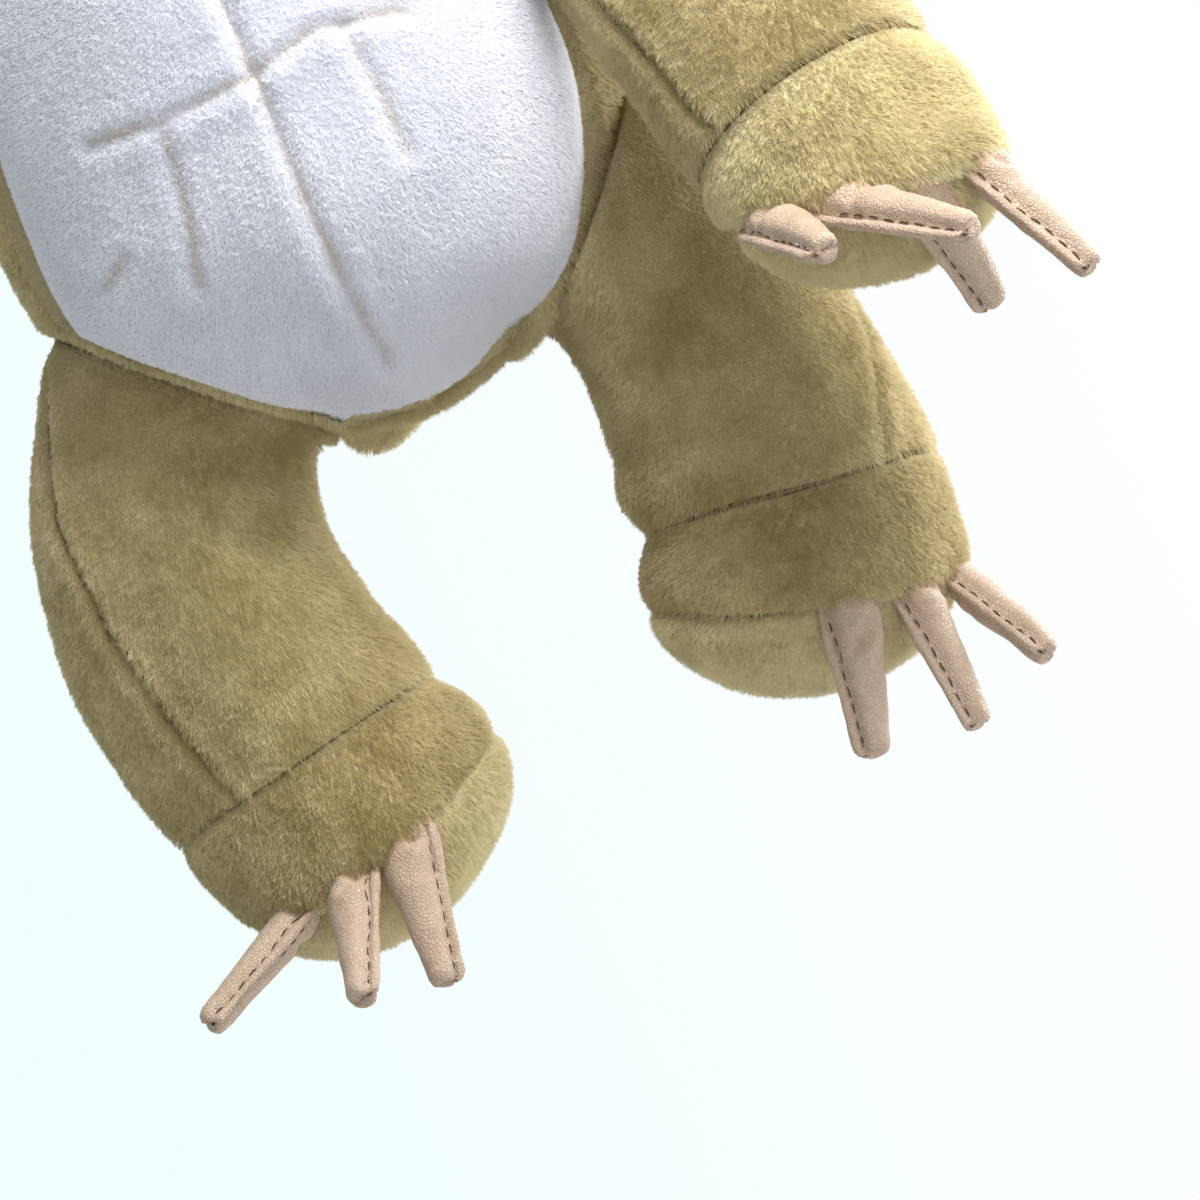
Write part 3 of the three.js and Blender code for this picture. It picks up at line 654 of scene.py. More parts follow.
plain_torso = torso_form("torso_pattern")
belly = front_panel("belly", surface_of(plain_torso), (BELLY_ASIDE, BELLY_FOOT + BELLY_BELOW),
                    BELLY_HALF_WIDTH, BELLY_ABOVE, BELLY_BELOW, -BELLY_THICK, 0.6 * MM)
bpy.data.objects.remove(plain_torso)
for at, way in hips.values():
    press(belly, at - way * HIP_RIM, way)
mold(belly, lumps(30 * MM, 1.6 * MM, 2), *[
    groove(path, 1.9 * MM, depth * MM, 0.3 * MM, flat=True)
    for path, depth in zip(belly_creases, CREASE_DEPTHS)
])
points, normals = points_of(belly), normals_of(belly)
bare = [normals[:, 1] > 0.2, *[0.8 * by_seam(points, path, True) for path in belly_creases[:2]]]
tuck(belly)
# the belly's plush and strands carry painted shade along the creases
white = fabric("white", WHITE, WHITE_SHADE, (0.96, 0.965, 0.99), (0.88, 0.885, 0.93), 1.1 * MM, crease_shade)
pile(belly, white, (0, 0, -0.4), 12, np.maximum.reduce(bare), length=1 * MM, per_mm2=16)
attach(belly, "torso")
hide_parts("belly_panel")

# Tail
# A blunt stub of tan plush, stuffed with fibre and sewn on low at the back by its round end. It
# hangs to the toy's right.
TAIL_LENGTH, TAIL_RADIUS, TAIL_DROOP, TAIL_SWING = 34 * MM, 13 * MM, 38, 62
TAIL_SHARES = [(0, 1, 0), (0.3, 1.02, 0.3), (0.62, 0.9, 0.7), (0.86, 0.62, 1), (0.97, 0.3, 1), (1, 0.01, 1)]
tail_turn = DOWN.rotation_difference(tail_way) @ Quaternion((0, 0, 1), math.radians(-TAIL_SWING))
tail_start = tail_root + tail_way * SEAM_GAP
tail_place = Matrix.Translation(tail_start) @ tail_turn.to_matrix().to_4x4()
tail_rings, tail_at, tail_last = [], Vector(), 0
for along, radius, droop in TAIL_SHARES:
    facing = way_down(1, 0, TAIL_DROOP * droop)
    tail_at = tail_at + facing * (along - tail_last) * TAIL_LENGTH
    tail_last = along
    tail_rings.append((tail_at, facing, radius * TAIL_RADIUS, radius * TAIL_RADIUS))
tail = form_mesh("tail_stub", tail_rings, tail_place)
mold(tail, lumps(14 * MM, 0.6 * MM, 3))
press(tail, tail_start, -tail_way)
sewn_end = on_discs(points_of(tail), [(tail_root + tail_way * 0.5 * MM, -tail_way, TAIL_RADIUS)], 1 * MM)
pile(tail, tan, tail_turn @ Vector((0, 0, -0.6)), 13, sewn_end)
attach(tail, "tail")
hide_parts("tail")

# Hands and feet
# Each is a plush band from the wrist or ankle seam to the seam that holds the claws, closed by a
# dome of paler plush: the palm or the sole. The hand's band, over its back, is pale too. This
# paleness is painted light: the glow of backlit palms and soles, and the lit back of the hand.
# painted light: paler plush for the glow on the palms and soles and the lit backs of the hands
pale = fabric("pale", (0.65, 0.57, 0.34), (0.49, 0.42, 0.23), (0.88, 0.81, 0.56), (0.58, 0.5, 0.29))
FOOT = {
    "width": 64 * MM, "depth": 61 * MM, "band": 18.5 * MM, "dome": 20 * MM, "lean": -8, "pitch": -9,
    "shares": [(0, 0.97, 0.96, 0, 0, 0), (0.4, 1.01, 1.01, 0.03, 0.02, 0.3),
               (0.75, 1.01, 1.02, 0.07, 0.03, 0.7), (1, 0.98, 0.99, 0.1, 0.03, 1)],
    "names": ("foot", "foot_band", "sole", "foot_filling"), "fabric": tan,
}
HAND = {
    "width": 54 * MM, "depth": 46 * MM, "band": 20 * MM, "dome": 16 * MM, "lean": -16, "pitch": -25,
    "shares": [(0, 0.95, 0.95, 0, 0, 0), (0.35, 1.02, 1.02, 0, 0, 0.3),
               (0.7, 1.03, 1.02, 0, 0, 0.66), (1, 0.98, 0.98, 0, 0, 1)],
    # the hand's back is painted paler, as if lit
    "names": ("hand", "hand_back", "palm", "hand_filling"), "fabric": pale,
}
DOME_SHARES = [(0, 1), (0.28, 0.955), (0.58, 0.8), (0.82, 0.56), (0.96, 0.28), (1, 0.01)]
SEAM_DRAW, SEAM_RUN = 1.6 * MM, 2.2 * MM


def seam_end(ring, inward):
    """The rings that draw a form in where it meets a seam, in a short round-over."""
    centre, facing, wide, deep = ring
    drawn = [
        (centre + facing * inward * SEAM_RUN * run, facing, wide - SEAM_DRAW * draw, deep - SEAM_DRAW * draw)
        for run, draw in ((0, 1), (0.25, 0.4), (1, 0))
    ]
    return drawn[::inward]


def limb_end(kind, name, place, nap, seed):
    """A hand or foot: its band, which swells over the claws' roots, its dome, and its two seams."""
    side = SIDES[name]
    whole, band_name, dome_name, filling = kind["names"]
    width, depth = kind["width"], kind["depth"]
    rings = [
        (Vector((-side * inward * width / 2, -forward * depth / 2, -SEAM_GAP - along * kind["band"])),
         way_down(side, turned * kind["lean"], turned * kind["pitch"]), wide * width / 2, deep * depth / 2)
        for along, wide, deep, inward, forward, turned in kind["shares"]
    ]
    centre, facing, wide, deep = rings[-1]
    high = kind["dome"] - SEAM_GAP
    dome = [
        (centre + facing * (SEAM_GAP + along * high), facing, radius * wide, radius * deep)
        for along, radius in DOME_SHARES
    ]
    band_rings = seam_end(rings[0], 1) + rings[1:-1] + seam_end(rings[-1], -1)
    band = form_mesh(f"{band_name}_skin_{name}", band_rings, place)
    cap = form_mesh(f"{dome_name}_skin_{name}", seam_end(dome[0], 1) + dome[1:], place)
    turn = place.to_3x3()
    top, toe, up, way = place @ rings[0][0], place @ centre, -(turn @ DOWN), turn @ facing
    claws = [joint for joint in frame["joints"] if joint["child"].startswith(f"{whole}_claw_{name}")]
    roots = [Vector(joint["pos_m"]) - way * 2 * MM for joint in claws]
    mold(band, lumps(20 * MM, 1.0 * MM, seed), *[swell(root, 8 * MM, 2.4 * MM) for root in roots])
    mold(cap, lumps(16 * MM, 0.9 * MM, seed + 1))
    press(band, top, up)
    rows = smooth_rows(rings)
    # the seams' dark rings are painted shade in the drawn-in cuff and claw seams
    for seam, row in (("cuff", rows[0]), ("claw_seam", rows[-1])):
        loop = [place @ Vector(p) for p in ring_points(row, 60, PILE_ROOM + SEAM_DRAW)]
        shaded_seam_line(f"{whole}_{seam}_{name}", loop + loop[:1], 0.45 * MM, f"{whole}_{name}")
    sewn = on_discs(points_of(band), [(top, up, width), (toe, way, width)], 1.2 * MM)
    pile(band, kind["fabric"], nap, seed + 20, sewn)
    sewn = on_discs(points_of(cap), [(toe, -way, width)], 1.2 * MM)
    # the palm or sole is painted paler, for the glow of backlight on it
    pile(cap, pale, nap, seed + 21, sewn)
    for made, node, extra in ((band, band_name, [f"{filling}_{name}"]), (cap, dome_name, [])):
        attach(made, f"{whole}_{name}")
        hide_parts(f"{node}_{name}", *extra)


# Legs
# Stuffed tubes of tan plush with a side seam, sewn on round discs under the torso, bent down to
# the ankle seams. The pile stands up along the side seam.
LEG_WIDTH, LEG_DEPTH = 63 * MM, 60 * MM
LEG_SHARES = [
    (0, 1, 0.94, 1), (0.17, 0.965, 0.97, 0.7), (0.34, 0.975, 1, 0.5), (0.52, 1, 1.02, 0.34),
    (0.7, 1.03, 1.03, 0.2), (0.87, 1.03, 1.01, 0.09), (1, 0.985, 0.98, 0),
]
LEGS = {  # places in millimetres, and angles in degrees
    "left": {"ankle": (63, 3, -42), "lean": -7.6, "run_lean": 10, "twist": 0,
             "crotch": [(29, 0, 6), (31, 0, -6), (31, 0, -20)], "slack": 5, "thigh": 5,
             "seam": [(86, 6, 20), (90, 3, 8), (91, -3, -5), (89, -8, -19), (85, -16, -33), (82, -20, -45)]},
    "right": {"ankle": (47, 1, -51.5), "lean": -10.5, "run_lean": -14, "twist": -16,
              "crotch": [(-16, 0, 4), (-20, 0, -12), (-17, 0, -26)], "slack": 3, "thigh": 0,
              "seam": [(-63, -5, 40), (-66, -10, 31), (-72, -16, 11), (-71.6, -21.6, -4),
                       (-71, -23, -15), (-67, -24, -34), (-61, -24.5, -54)]},
}
HIP_RUN, ANKLE_RUN = 26 * MM, 35 * MM
THIGH_OUT, THIGH_UP, THIGH_REACH = 66, 39, 14 * MM


def bezier(a, b, c, d, t):
    return a * (1 - t) ** 3 + b * 3 * t * (1 - t) ** 2 + c * 3 * t ** 2 * (1 - t) + d * t ** 3


def tube_rings(curve, shares, width, depth, start, end, side):
    """Rings along a curve, square to its first way at the start and to its last at the end."""
    rings = []
    for along, wide, deep, turned in shares:
        lean, pitch = (e + (s - e) * turned for s, e in zip(start, end))
        rings.append((bezier(*curve, along), way_down(side, lean, pitch), wide * width / 2, deep * depth / 2))
    return rings


for name, side in SIDES.items():
    leg = LEGS[name]
    at, way = hips[name]
    start = at + way * SEAM_GAP
    out, back, up = leg["ankle"]
    ankle = Vector((side * out, back, up)) * MM - at
    curve = (Vector(), way * HIP_RUN, ankle - way_down(side, leg["run_lean"], 0) * ANKLE_RUN, ankle)
    gathered = [(a, w * (1 + (HIPS[name]["gather"] - 1) * t), d, t) for a, w, d, t in LEG_SHARES]
    turn = (HIP_LEAN, HIPS[name]["pitch"]), (leg["lean"], 0)
    rings = tube_rings(curve, gathered, LEG_WIDTH, LEG_DEPTH, *turn, side)
    rings = rings[:-1] + seam_end(rings[-1], -1)
    made = form_mesh(f"leg_skin_{name}", rings, Matrix.Translation(start))
    foot_way = way_down(side, leg["lean"], 0)
    seam = [Vector(p) * MM for p in leg["seam"]]
    thigh = Vector((side * THIGH_OUT, 0, THIGH_UP)) * MM
    mold(made, groove(seam, 1.4 * MM, 1.5 * MM, 0.9 * MM), lumps(24 * MM, 1.2 * MM, 4 + side),
         swell(thigh, THIGH_REACH, leg["thigh"] * MM))
    drawn = groove([Vector(p) * MM for p in leg["crotch"]], 9 * MM, leg["slack"] * MM, flat=True)
    mold(made, lambda points, normals: drawn(points, normals) * np.clip(-1.6 * side * normals[:, 0], 0, 1))
    tuck(made)
    press(made, start, -way)
    press(made, start + ankle, foot_way)
    sewn_line(f"leg_seam_{name}", made, seam, f"leg_{name}")
    points = points_of(made)
    sewn = on_discs(points, [(start, -way, LEG_WIDTH / 2), (start + ankle, foot_way, LEG_WIDTH)], 1.6 * MM)
    pile(made, tan, foot_way * 0.7, 15 + side, np.maximum(sewn, by_seam(points, seam)))
    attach(made, f"leg_{name}")
    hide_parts(f"leg_cover_{name}", f"leg_filling_{name}")
    bearing = DOWN.rotation_difference(foot_way) @ Quaternion(DOWN, math.radians(-side * leg["twist"]))
    place = Matrix.Translation(start + ankle) @ bearing.to_matrix().to_4x4()
    limb_end(FOOT, name, place, foot_way * 0.6, 30 + side)

# Arms
# Stuffed tan sleeves, sewn on round the shoulders and lying against the flanks. The left hangs
# down in front, and the right is raised.
ARM_WIDTH, ARM_DEPTH = 53 * MM, 45 * MM
ARM_SHARES = [
    (0, 0.3, 0.3, 1), (0.02, 0.62, 0.62, 1), (0.07, 0.86, 0.88, 1), (0.16, 0.96, 0.98, 0.9),
    (0.36, 0.95, 1, 0.6), (0.58, 0.98, 1, 0.35), (0.8, 1.03, 1.02, 0.12), (1, 1.01, 0.98, 0),
]
ARM_OFF, ARM_TOP, ARM_REACH = 18 * MM, 22 * MM, 75 * MM
SHOULDER_RUN, WRIST_RUN = 52 * MM, 40 * MM
WRIST_OUT, WRIST_FRONT, WRIST_UP = 92.5 * MM, 58 * MM, 22 * MM
ARM_HANG, WRIST_HANG = (22, 12), (9, 17)
ARM_SWING = {"left": 0, "right": 95}
ARM_SEAM = [(62, -50, 62), (66.2, -58.1, 50.2), (68.7, -63.6, 41.2), (71.4, -68.8, 29.2), (73.5, -72.2, 24.2)]
for name, side in SIDES.items():
    at, flank = shoulders[name]
    start = at + flank * SEAM_GAP
    hang, wrist_way = way_down(side, *ARM_HANG), way_down(side, *WRIST_HANG)
    wrist = Vector((side * WRIST_OUT, -WRIST_FRONT, WRIST_UP)) - at
    top = flank * ARM_OFF - hang * ARM_TOP
    curve = (top, top + hang * SHOULDER_RUN, wrist - wrist_way * WRIST_RUN, wrist)
    rings = tube_rings(curve, ARM_SHARES, ARM_WIDTH, ARM_DEPTH, ARM_HANG, WRIST_HANG, side)
    swing = Matrix.Rotation(math.radians(-side * ARM_SWING[name]), 4, flank)
    rest = Matrix.Translation(start)
    made = form_mesh(f"arm_skin_{name}", rings[:-1] + seam_end(rings[-1], -1), rest)
    press(made, start, -flank, ARM_REACH)
    seam = [Vector((side * x, y, z)) * MM for x, y, z in ARM_SEAM]
    mold(made, groove(seam, 1.4 * MM, 1.5 * MM, 0.8 * MM), lumps(22 * MM, 1.1 * MM, 6 + side))
    press(made, start, -flank, ARM_REACH)
    press(made, rest @ wrist, wrist_way)
    turned = rest @ swing @ rest.inverted()
    made.data.transform(turned)
    seam = [turned @ spot for spot in seam]
    sewn_line(f"arm_seam_{name}", made, seam, f"arm_{name}")
    discs = [(start, -flank, 22 * MM), (rest @ swing @ wrist, swing.to_3x3() @ wrist_way, ARM_WIDTH)]
    points = points_of(made)
    sewn = np.maximum(on_discs(points, discs, 1.6 * MM), by_seam(points, seam))
    nap = swing.to_3x3() @ (hang + wrist_way) * 0.35
    pile(made, tan, nap, 50 + side, sewn)
    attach(made, f"arm_{name}")
    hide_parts(f"arm_cover_{name}", f"arm_filling_{name}")
    bearing = DOWN.rotation_difference(wrist_way)
    place = rest @ swing @ Matrix.Translation(wrist) @ bearing.to_matrix().to_4x4()
    limb_end(HAND, name, place, nap, 60 + side)

# Claws
# Folded imitation leather with a fine grain. One long edge is closed by a lapped seam in brown
# thread, the fold is round, and the blunt tip is turned in. The root is sewn into the claw seam.
CLAW_LENGTH, CLAW_WIDTH, CLAW_THICK, CLAW_ROOT, CLAW_BEND = 31 * MM, 12.5 * MM, 8.5 * MM, 4.2 * MM, 1.6 * MM
CLAW_SHARES = np.array([
    (0.0, 0.6, 0.25, 0), (0.05, 0.9, 0.6, 0), (0.12, 1, 0.85, 0), (0.2, 0.99, 0.94, 0),
    (0.32, 0.93, 0.9, 0.1), (0.5, 0.83, 0.86, 0.3), (0.7, 0.72, 0.8, 0.5), (0.88, 0.62, 0.74, 0.8),
    (0.95, 0.58, 0.7, 0.9), (0.985, 0.5, 0.6, 1), (1.0, 0.36, 0.4, 1), (1.003, 0.02, 0.02, 1),
])
CLAW_SIDES, CLAW_STEPS = 56, 60  # points round a claw, and rows along the whole of it
TIP_CORNERS = 8  # the corners of the solid that are furthest from its hinge
LEATHER, LEATHER_DARK = (0.64, 0.49, 0.37), (0.44, 0.31, 0.21)
GRAIN_COUNT = 1350  # pebbles of the grain to a metre
STITCHES, FIRST_STITCH, STITCH_PITCH, STITCH_LENGTH, THREAD = 8, 5 * MM, 3.3 * MM, 2.2 * MM, 0.17 * MM
LAP, LAP_THICK = 1.9 * MM, 1.6 * MM  # the strip past the stitches
FOLDS, THREAD_ENDS, THREAD_END = 2, 9, 0.1 * MM


def leather(name):
    material, place = new_material(name)
    values = {"Vector": place, "Scale": GRAIN_COUNT}
    pebbles = place.node("ShaderNodeTexVoronoi", {"feature": "DISTANCE_TO_EDGE"}, values).between(0.0, 0.25)
    fine = noise_at(place, 1.6 * MM)
    body = pebbles * 0.35 + noise_at(place, 7 * MM) * 0.35 + fine * 0.3
    finish_material(place.node("ShaderNodeBsdfPrincipled", {}, {
        "Base Color": body.mix(LEATHER_DARK, LEATHER),
        "Roughness": 0.58 - pebbles * 0.14,
        "Specular IOR Level": 0.5,
        "Normal": place.node("ShaderNodeBump", {}, {
            "Strength": 0.8, "Distance": 0.16 * MM, "Height": pebbles + fine * 0.8,
        }),
    }))
    return material


claw_leather = leather("claw_leather")
brown_thread = thread("brown_thread", (0.12, 0.065, 0.035))
pale_thread = thread("pale_thread", (0.82, 0.8, 0.84))


def claw_section(row, lap_side):
    """One section of a claw: a puffed leaf from its fold to the stitches, and a thin lap beyond them."""
    along, wide, thick, bend = row
    half_wide, half_thick = wide * CLAW_WIDTH / 2, thick * CLAW_THICK / 2
    lap, lap_thick = min(LAP, half_wide * 0.5), min(LAP_THICK / 2, half_thick * 0.6)
    fold, line = -half_wide, half_wide - lap
    points = []
    for i, turn in enumerate(turns(CLAW_SIDES)):
        x = half_wide * math.cos(turn)
        puff = np.clip((x - fold) / (line - fold), 0, 1)
        leaf = half_thick * 1.05 * (puff * (1 - puff) ** 0.75 * 3.1) ** 0.5
        strip = lap_thick * math.sqrt(max(0, 1 - max(0, (x - half_wide + lap * 0.5) / (lap * 0.5)) ** 2))
        pinch = math.exp(-((x - line) / (0.45 * MM)) ** 2)
        height = max(leaf, strip) * (1 - 0.45 * pinch) if i % (CLAW_SIDES // 2) else 0
        up = height if turn < math.pi else -height
        points.append((lap_side * x, up - bend * CLAW_BEND, CLAW_ROOT - along * (CLAW_ROOT + CLAW_LENGTH)))
    return points


def on_claw(tree, lap_side, level, inset, face):
    """The place on one face of a claw at a level, an inset from its sewn edge."""
    along = (CLAW_ROOT - level) / (CLAW_ROOT + CLAW_LENGTH)
    half = np.interp(along, CLAW_SHARES[:, 0], CLAW_SHARES[:, 1]) * CLAW_WIDTH / 2
    start = Vector((lap_side * (half - min(inset, half * 0.5)), face * 20 * MM, level))
    spot, normal, _, _ = tree.ray_cast(start, FRONT * face)
    return spot + normal * THREAD * 0.1


claw_rows = []
for before, after in zip(CLAW_SHARES[:-1], CLAW_SHARES[1:]):
    steps = max(1, round((after[0] - before[0]) * CLAW_STEPS))
    claw_rows += [before + (after - before) * k / steps for k in range(steps)]
claw_rows.append(CLAW_SHARES[-1])
tip_fold = [Vector((x, -CLAW_BEND, -CLAW_LENGTH)) for x in (-3 * MM, 3 * MM)]
for joint in frame["joints"]:
    if not joint["name"].endswith("_flop"):
        continue
    node = joint["child"]
    lap_side = 1 if "_left_" in node else -1
    number = int(node[-1])
    chance = np.random.default_rng(number + 10 * lap_side + 20 + 5 * node.startswith("hand"))
    hinge, axis = Vector(joint["pos_m"]), Vector(joint["axis"]).normalized()
    corners = sorted((v.co - hinge for v in frame["nodes"][node].data.vertices), key=lambda p: -p.length)
    tip = sum(corners[:TIP_CORNERS], Vector()) / TIP_CORNERS
    tip = Quaternion(axis, math.asin(CLAW_BEND / CLAW_LENGTH)) @ (tip - axis * tip.dot(axis)).normalized()
    place = Matrix((axis, axis.cross(tip), -tip)).transposed().to_4x4()
    place.translation = hinge
    made = loft(f"{node}_leather", [claw_section(row, lap_side) for row in claw_rows], claw_leather)
    folds = []
    for k in range(FOLDS):
        level = -chance.uniform(1.5, 9) * MM
        slope = chance.uniform(-3, 3) * MM
        face = 3.5 * MM * (1 if chance.random() < 0.7 else -1)
        end = chance.uniform(-1, 3) * MM
        fold = [Vector((-5 * MM, face, level - slope)), Vector((end, face, level + slope))]
        folds.append(groove(fold, 1.3 * MM, 0.7 * MM, 0.3 * MM))
    mold(made, lumps(9 * MM, 0.5 * MM, number + 3 * lap_side), lumps(2.6 * MM, 0.14 * MM, number),
         groove(tip_fold, 0.6 * MM, 0.9 * MM), *folds)
    claw = surface_of(made), lap_side
    made.data.transform(place)
    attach(made, node)
    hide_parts(node)

    # the stitches lie in the groove beside the lap, on both faces, and pale ends stand at the tip
    paths = []
    for k in range(STITCHES):
        for face in (1, -1):
            level = -FIRST_STITCH - k * STITCH_PITCH
            ends = [on_claw(*claw, level + end * STITCH_LENGTH, LAP, face) for end in (0.5, -0.5)]
            middle = ends[0].lerp(ends[1], 0.5) + Vector((0, face * 0.12 * MM, 0))
            paths.append([ends[0], ends[0].lerp(middle, 0.5), middle, ends[1].lerp(middle, 0.5), ends[1]])
    stitches = rods(f"{node}_stitches", paths, THREAD, brown_thread)
    paths = []
    for k in range(THREAD_ENDS):
        face = 1 if k % 2 else -1
        level = -CLAW_LENGTH + chance.uniform(0.8, 6.5) * MM
        path = [on_claw(*claw, level, LAP + chance.uniform(-0.9, 0.6) * MM, face)]
        for step in range(3):
            astray = Vector(chance.uniform(-0.5, 0.5, 3)) * MM
            path.append(path[-1] + astray + Vector((0, face * 0.05, -0.12)) * MM)
        paths.append(path)
    ends = rods(f"{node}_thread_ends", paths, THREAD_END, pale_thread, 5)
    for part in (stitches, ends):
        part.data.transform(place)
        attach(part, node)

# Head
# A round stuffed form of tan plush, sewn on round the neck, with a cream face panel in its
# front. The head is out of the photograph, so it is a plain sloth's.
HEAD_HEIGHT, HEAD_WIDTH, HEAD_DEPTH = 94 * MM, 104 * MM, 92 * MM
HEAD_BASE = TORSO_HEIGHT + SEAM_GAP
HEAD_SHARES = [
    (1.004, 0.01, 0.01, 0), (1, 0.2, 0.2, 0), (0.985, 0.42, 0.42, 0), (0.92, 0.68, 0.7, 0.01),
    (0.79, 0.89, 0.9, 0.03), (0.63, 0.985, 0.99, 0.06), (0.46, 1, 1.02, 0.12), (0.31, 0.94, 1, 0.16),
    (0.17, 0.81, 0.88, 0.13), (0.06, 0.62, 0.66, 0.05), (0, 0.48, 0.5, 0),
]
FACE_HALF_WIDTH, FACE_HALF_HEIGHT, FACE_UP = 38 * MM, 34 * MM, 44 * MM
CREAM, CREAM_SHADE = (0.80, 0.72, 0.54), (0.58, 0.49, 0.33)
CROWN_SEAM_OUT = 17 * MM
head_rings = level_rings(HEAD_SHARES, HEAD_HEIGHT, HEAD_WIDTH, HEAD_DEPTH, HEAD_BASE)
head_base, head_middle = Vector((0, 0, HEAD_BASE)), HEAD_BASE + 0.48 * HEAD_HEIGHT


def face_ratio(points):
    """How far out a point of the front lies in the face oval: 1 on its edge."""
    ratio = np.hypot(points[:, 0] / FACE_HALF_WIDTH, (points[:, 2] - HEAD_BASE - FACE_UP) / FACE_HALF_HEIGHT)
    return np.where(points[:, 1] < 0, ratio, 9)


def under_face(points, normals):
    return under_panel((face_ratio(points) - 1) * FACE_HALF_HEIGHT)


plain_head = form_mesh("head_pattern", head_rings)
head_tree = surface_of(plain_head)
bpy.data.objects.remove(plain_head)
head = form_mesh("head_skin", head_rings)
crown_seams = []
for x in (-CROWN_SEAM_OUT, CROWN_SEAM_OUT):
    seam = []
    for angle in range(-24, 140, 8):
        way = Vector((0, -math.sin(math.radians(angle)), -math.cos(math.radians(angle))))
        seam.append(head_tree.ray_cast(Vector((x, 0, head_middle)) - way * 200 * MM, way)[0])
    crown_seams.append(seam)
mold(head, under_face, lumps(26 * MM, 1.0 * MM, 8), *[groove(seam, *SEAM_GROOVE) for seam in crown_seams])
press(head, head_base, DOWN)
for number, seam in enumerate(crown_seams):
    sewn_line(f"crown_seam_{number}", head, seam, "head")
points = points_of(head)
covered = [on_discs(points, [(head_base, DOWN, 26 * MM)], 1 * MM), face_ratio(points) < 0.97]
covered += [by_seam(points, seam) for seam in crown_seams]
pile(head, tan, (0, 0.4, -0.3), 71, np.maximum.reduce(covered))
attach(head, "head")
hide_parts("head_cover", "head_filling")

face = front_panel("face_skin", head_tree, (0, HEAD_BASE + FACE_UP), FACE_HALF_WIDTH, FACE_HALF_HEIGHT,
                   FACE_HALF_HEIGHT, -3 * MM, 0.4 * MM)
cream = fabric("cream", CREAM, CREAM_SHADE, (0.95, 0.89, 0.72), (0.83, 0.75, 0.56), 1.1 * MM)
bare = np.maximum(face_ratio(points_of(face)) > 1.02, normals_of(face)[:, 1] > 0.2)
pile(face, cream, (0, 0, -0.5), 72, bare, length=2 * MM)
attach(face, "head")
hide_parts("face_panel")

# Eyes, nose and mouth
# Dark plush patches slant over glossy black safety eyes, which lock into washers inside the
# head. The nose is a small padded oval and the mouth a line of thick embroidery.
EYE_OUT, EYE_UP, EYE_RADIUS, EYE_DOME, EYE_STAND = 19 * MM, 52 * MM, 5.5 * MM, 4 * MM, 2.2 * MM
PATCH_TILT, PATCH_DROP = 38, 5 * MM
PATCH_HALF_WIDTH, PATCH_HALF_HEIGHT = 9.5 * MM, 17 * MM
EYE_SHARES = ((0.96, -1.4), (1, 0.0), (0.97, 0.35), (0.88, 0.6), (0.7, 0.82), (0.4, 0.97), (0.01, 1.0))
DARK, DARK_SHADE = (0.13, 0.075, 0.045), (0.06, 0.035, 0.02)
dark = fabric("dark", DARK, DARK_SHADE, (0.22, 0.13, 0.08), (0.12, 0.07, 0.04), 1.1 * MM)


def plastic(name, colour, roughness):
    material, place = new_material(name)
    haze = noise_at(place, 3 * MM)
    finish_material(place.node("ShaderNodeBsdfPrincipled", {}, {
        "Base Color": haze.mix(tuple(c * 0.8 for c in colour), colour),
        "Roughness": roughness + haze * 0.06,
    }))
    return material


def on_head(out, up):
    """The place on the front of the head so far out and up from its base, and the way that it faces."""
    return head_tree.ray_cast(Vector((out, -1, HEAD_BASE + up)), -FRONT)[:2]


black_plastic = plastic("black_plastic", (0.006, 0.006, 0.006), 0.08)
white_plastic = plastic("white_plastic", (0.7, 0.7, 0.7), 0.5)
for name, side in SIDES.items():
    tilt = math.radians(PATCH_TILT)
    centre = side * (EYE_OUT + PATCH_DROP * math.tan(tilt)), HEAD_BASE + EYE_UP - PATCH_DROP
    patch = front_panel(f"eye_patch_skin_{name}", head_tree, centre, PATCH_HALF_WIDTH, PATCH_HALF_HEIGHT,
                        PATCH_HALF_HEIGHT, 0.7 * MM, 1.9 * MM, -side * tilt, 1.2 * MM)
    bare = 1.0 * (normals_of(patch)[:, 1] > 0)
    pile(patch, dark, (0, 0, -0.5), 80 + side, bare, length=1.6 * MM, per_mm2=3)
    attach(patch, "head")
    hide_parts(f"eye_patch_{name}")
    spot, normal = on_head(side * EYE_OUT, EYE_UP)
    rings = [
        (spot + normal * (EYE_STAND + stand * EYE_DOME), normal, radius * EYE_RADIUS, radius * EYE_RADIUS)
        for radius, stand in EYE_SHARES
    ]
    eye = form_mesh(f"eye_dome_{name}", rings, room=0)
    eye.data.materials.append(black_plastic)
    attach(eye, "head")
    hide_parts(f"eye_{name}")
    washer = frame["nodes"][f"eye_washer_{name}"].data.materials
    washer.clear()
    washer.append(white_plastic)

NOSE_UP, NOSE_HALF_WIDTH, NOSE_HALF_HEIGHT, NOSE_PROUD, NOSE_SIDES = 41 * MM, 8 * MM, 5.6 * MM, 5 * MM, 28
NOSE_SHARES = ((0.9, -0.3), (1, 0.1), (0.95, 0.45), (0.8, 0.72), (0.55, 0.9), (0.28, 0.98), (0.01, 1.0))
nose_fabric, place = new_material("nose_fabric")
weave = noise_at(place, 0.5 * MM)
colour = (weave * 0.5 + noise_at(place, 4 * MM) * 0.5).mix((0.015, 0.01, 0.008), (0.05, 0.032, 0.025))
finish_material(place.node("ShaderNodeBsdfPrincipled", {}, {
    "Base Color": colour,
    "Roughness": 0.6,
    "Normal": place.node("ShaderNodeBump", {}, {"Strength": 0.4, "Distance": 0.2 * MM, "Height": weave}),
}))
spot, _ = on_head(0, NOSE_UP)
rows = []
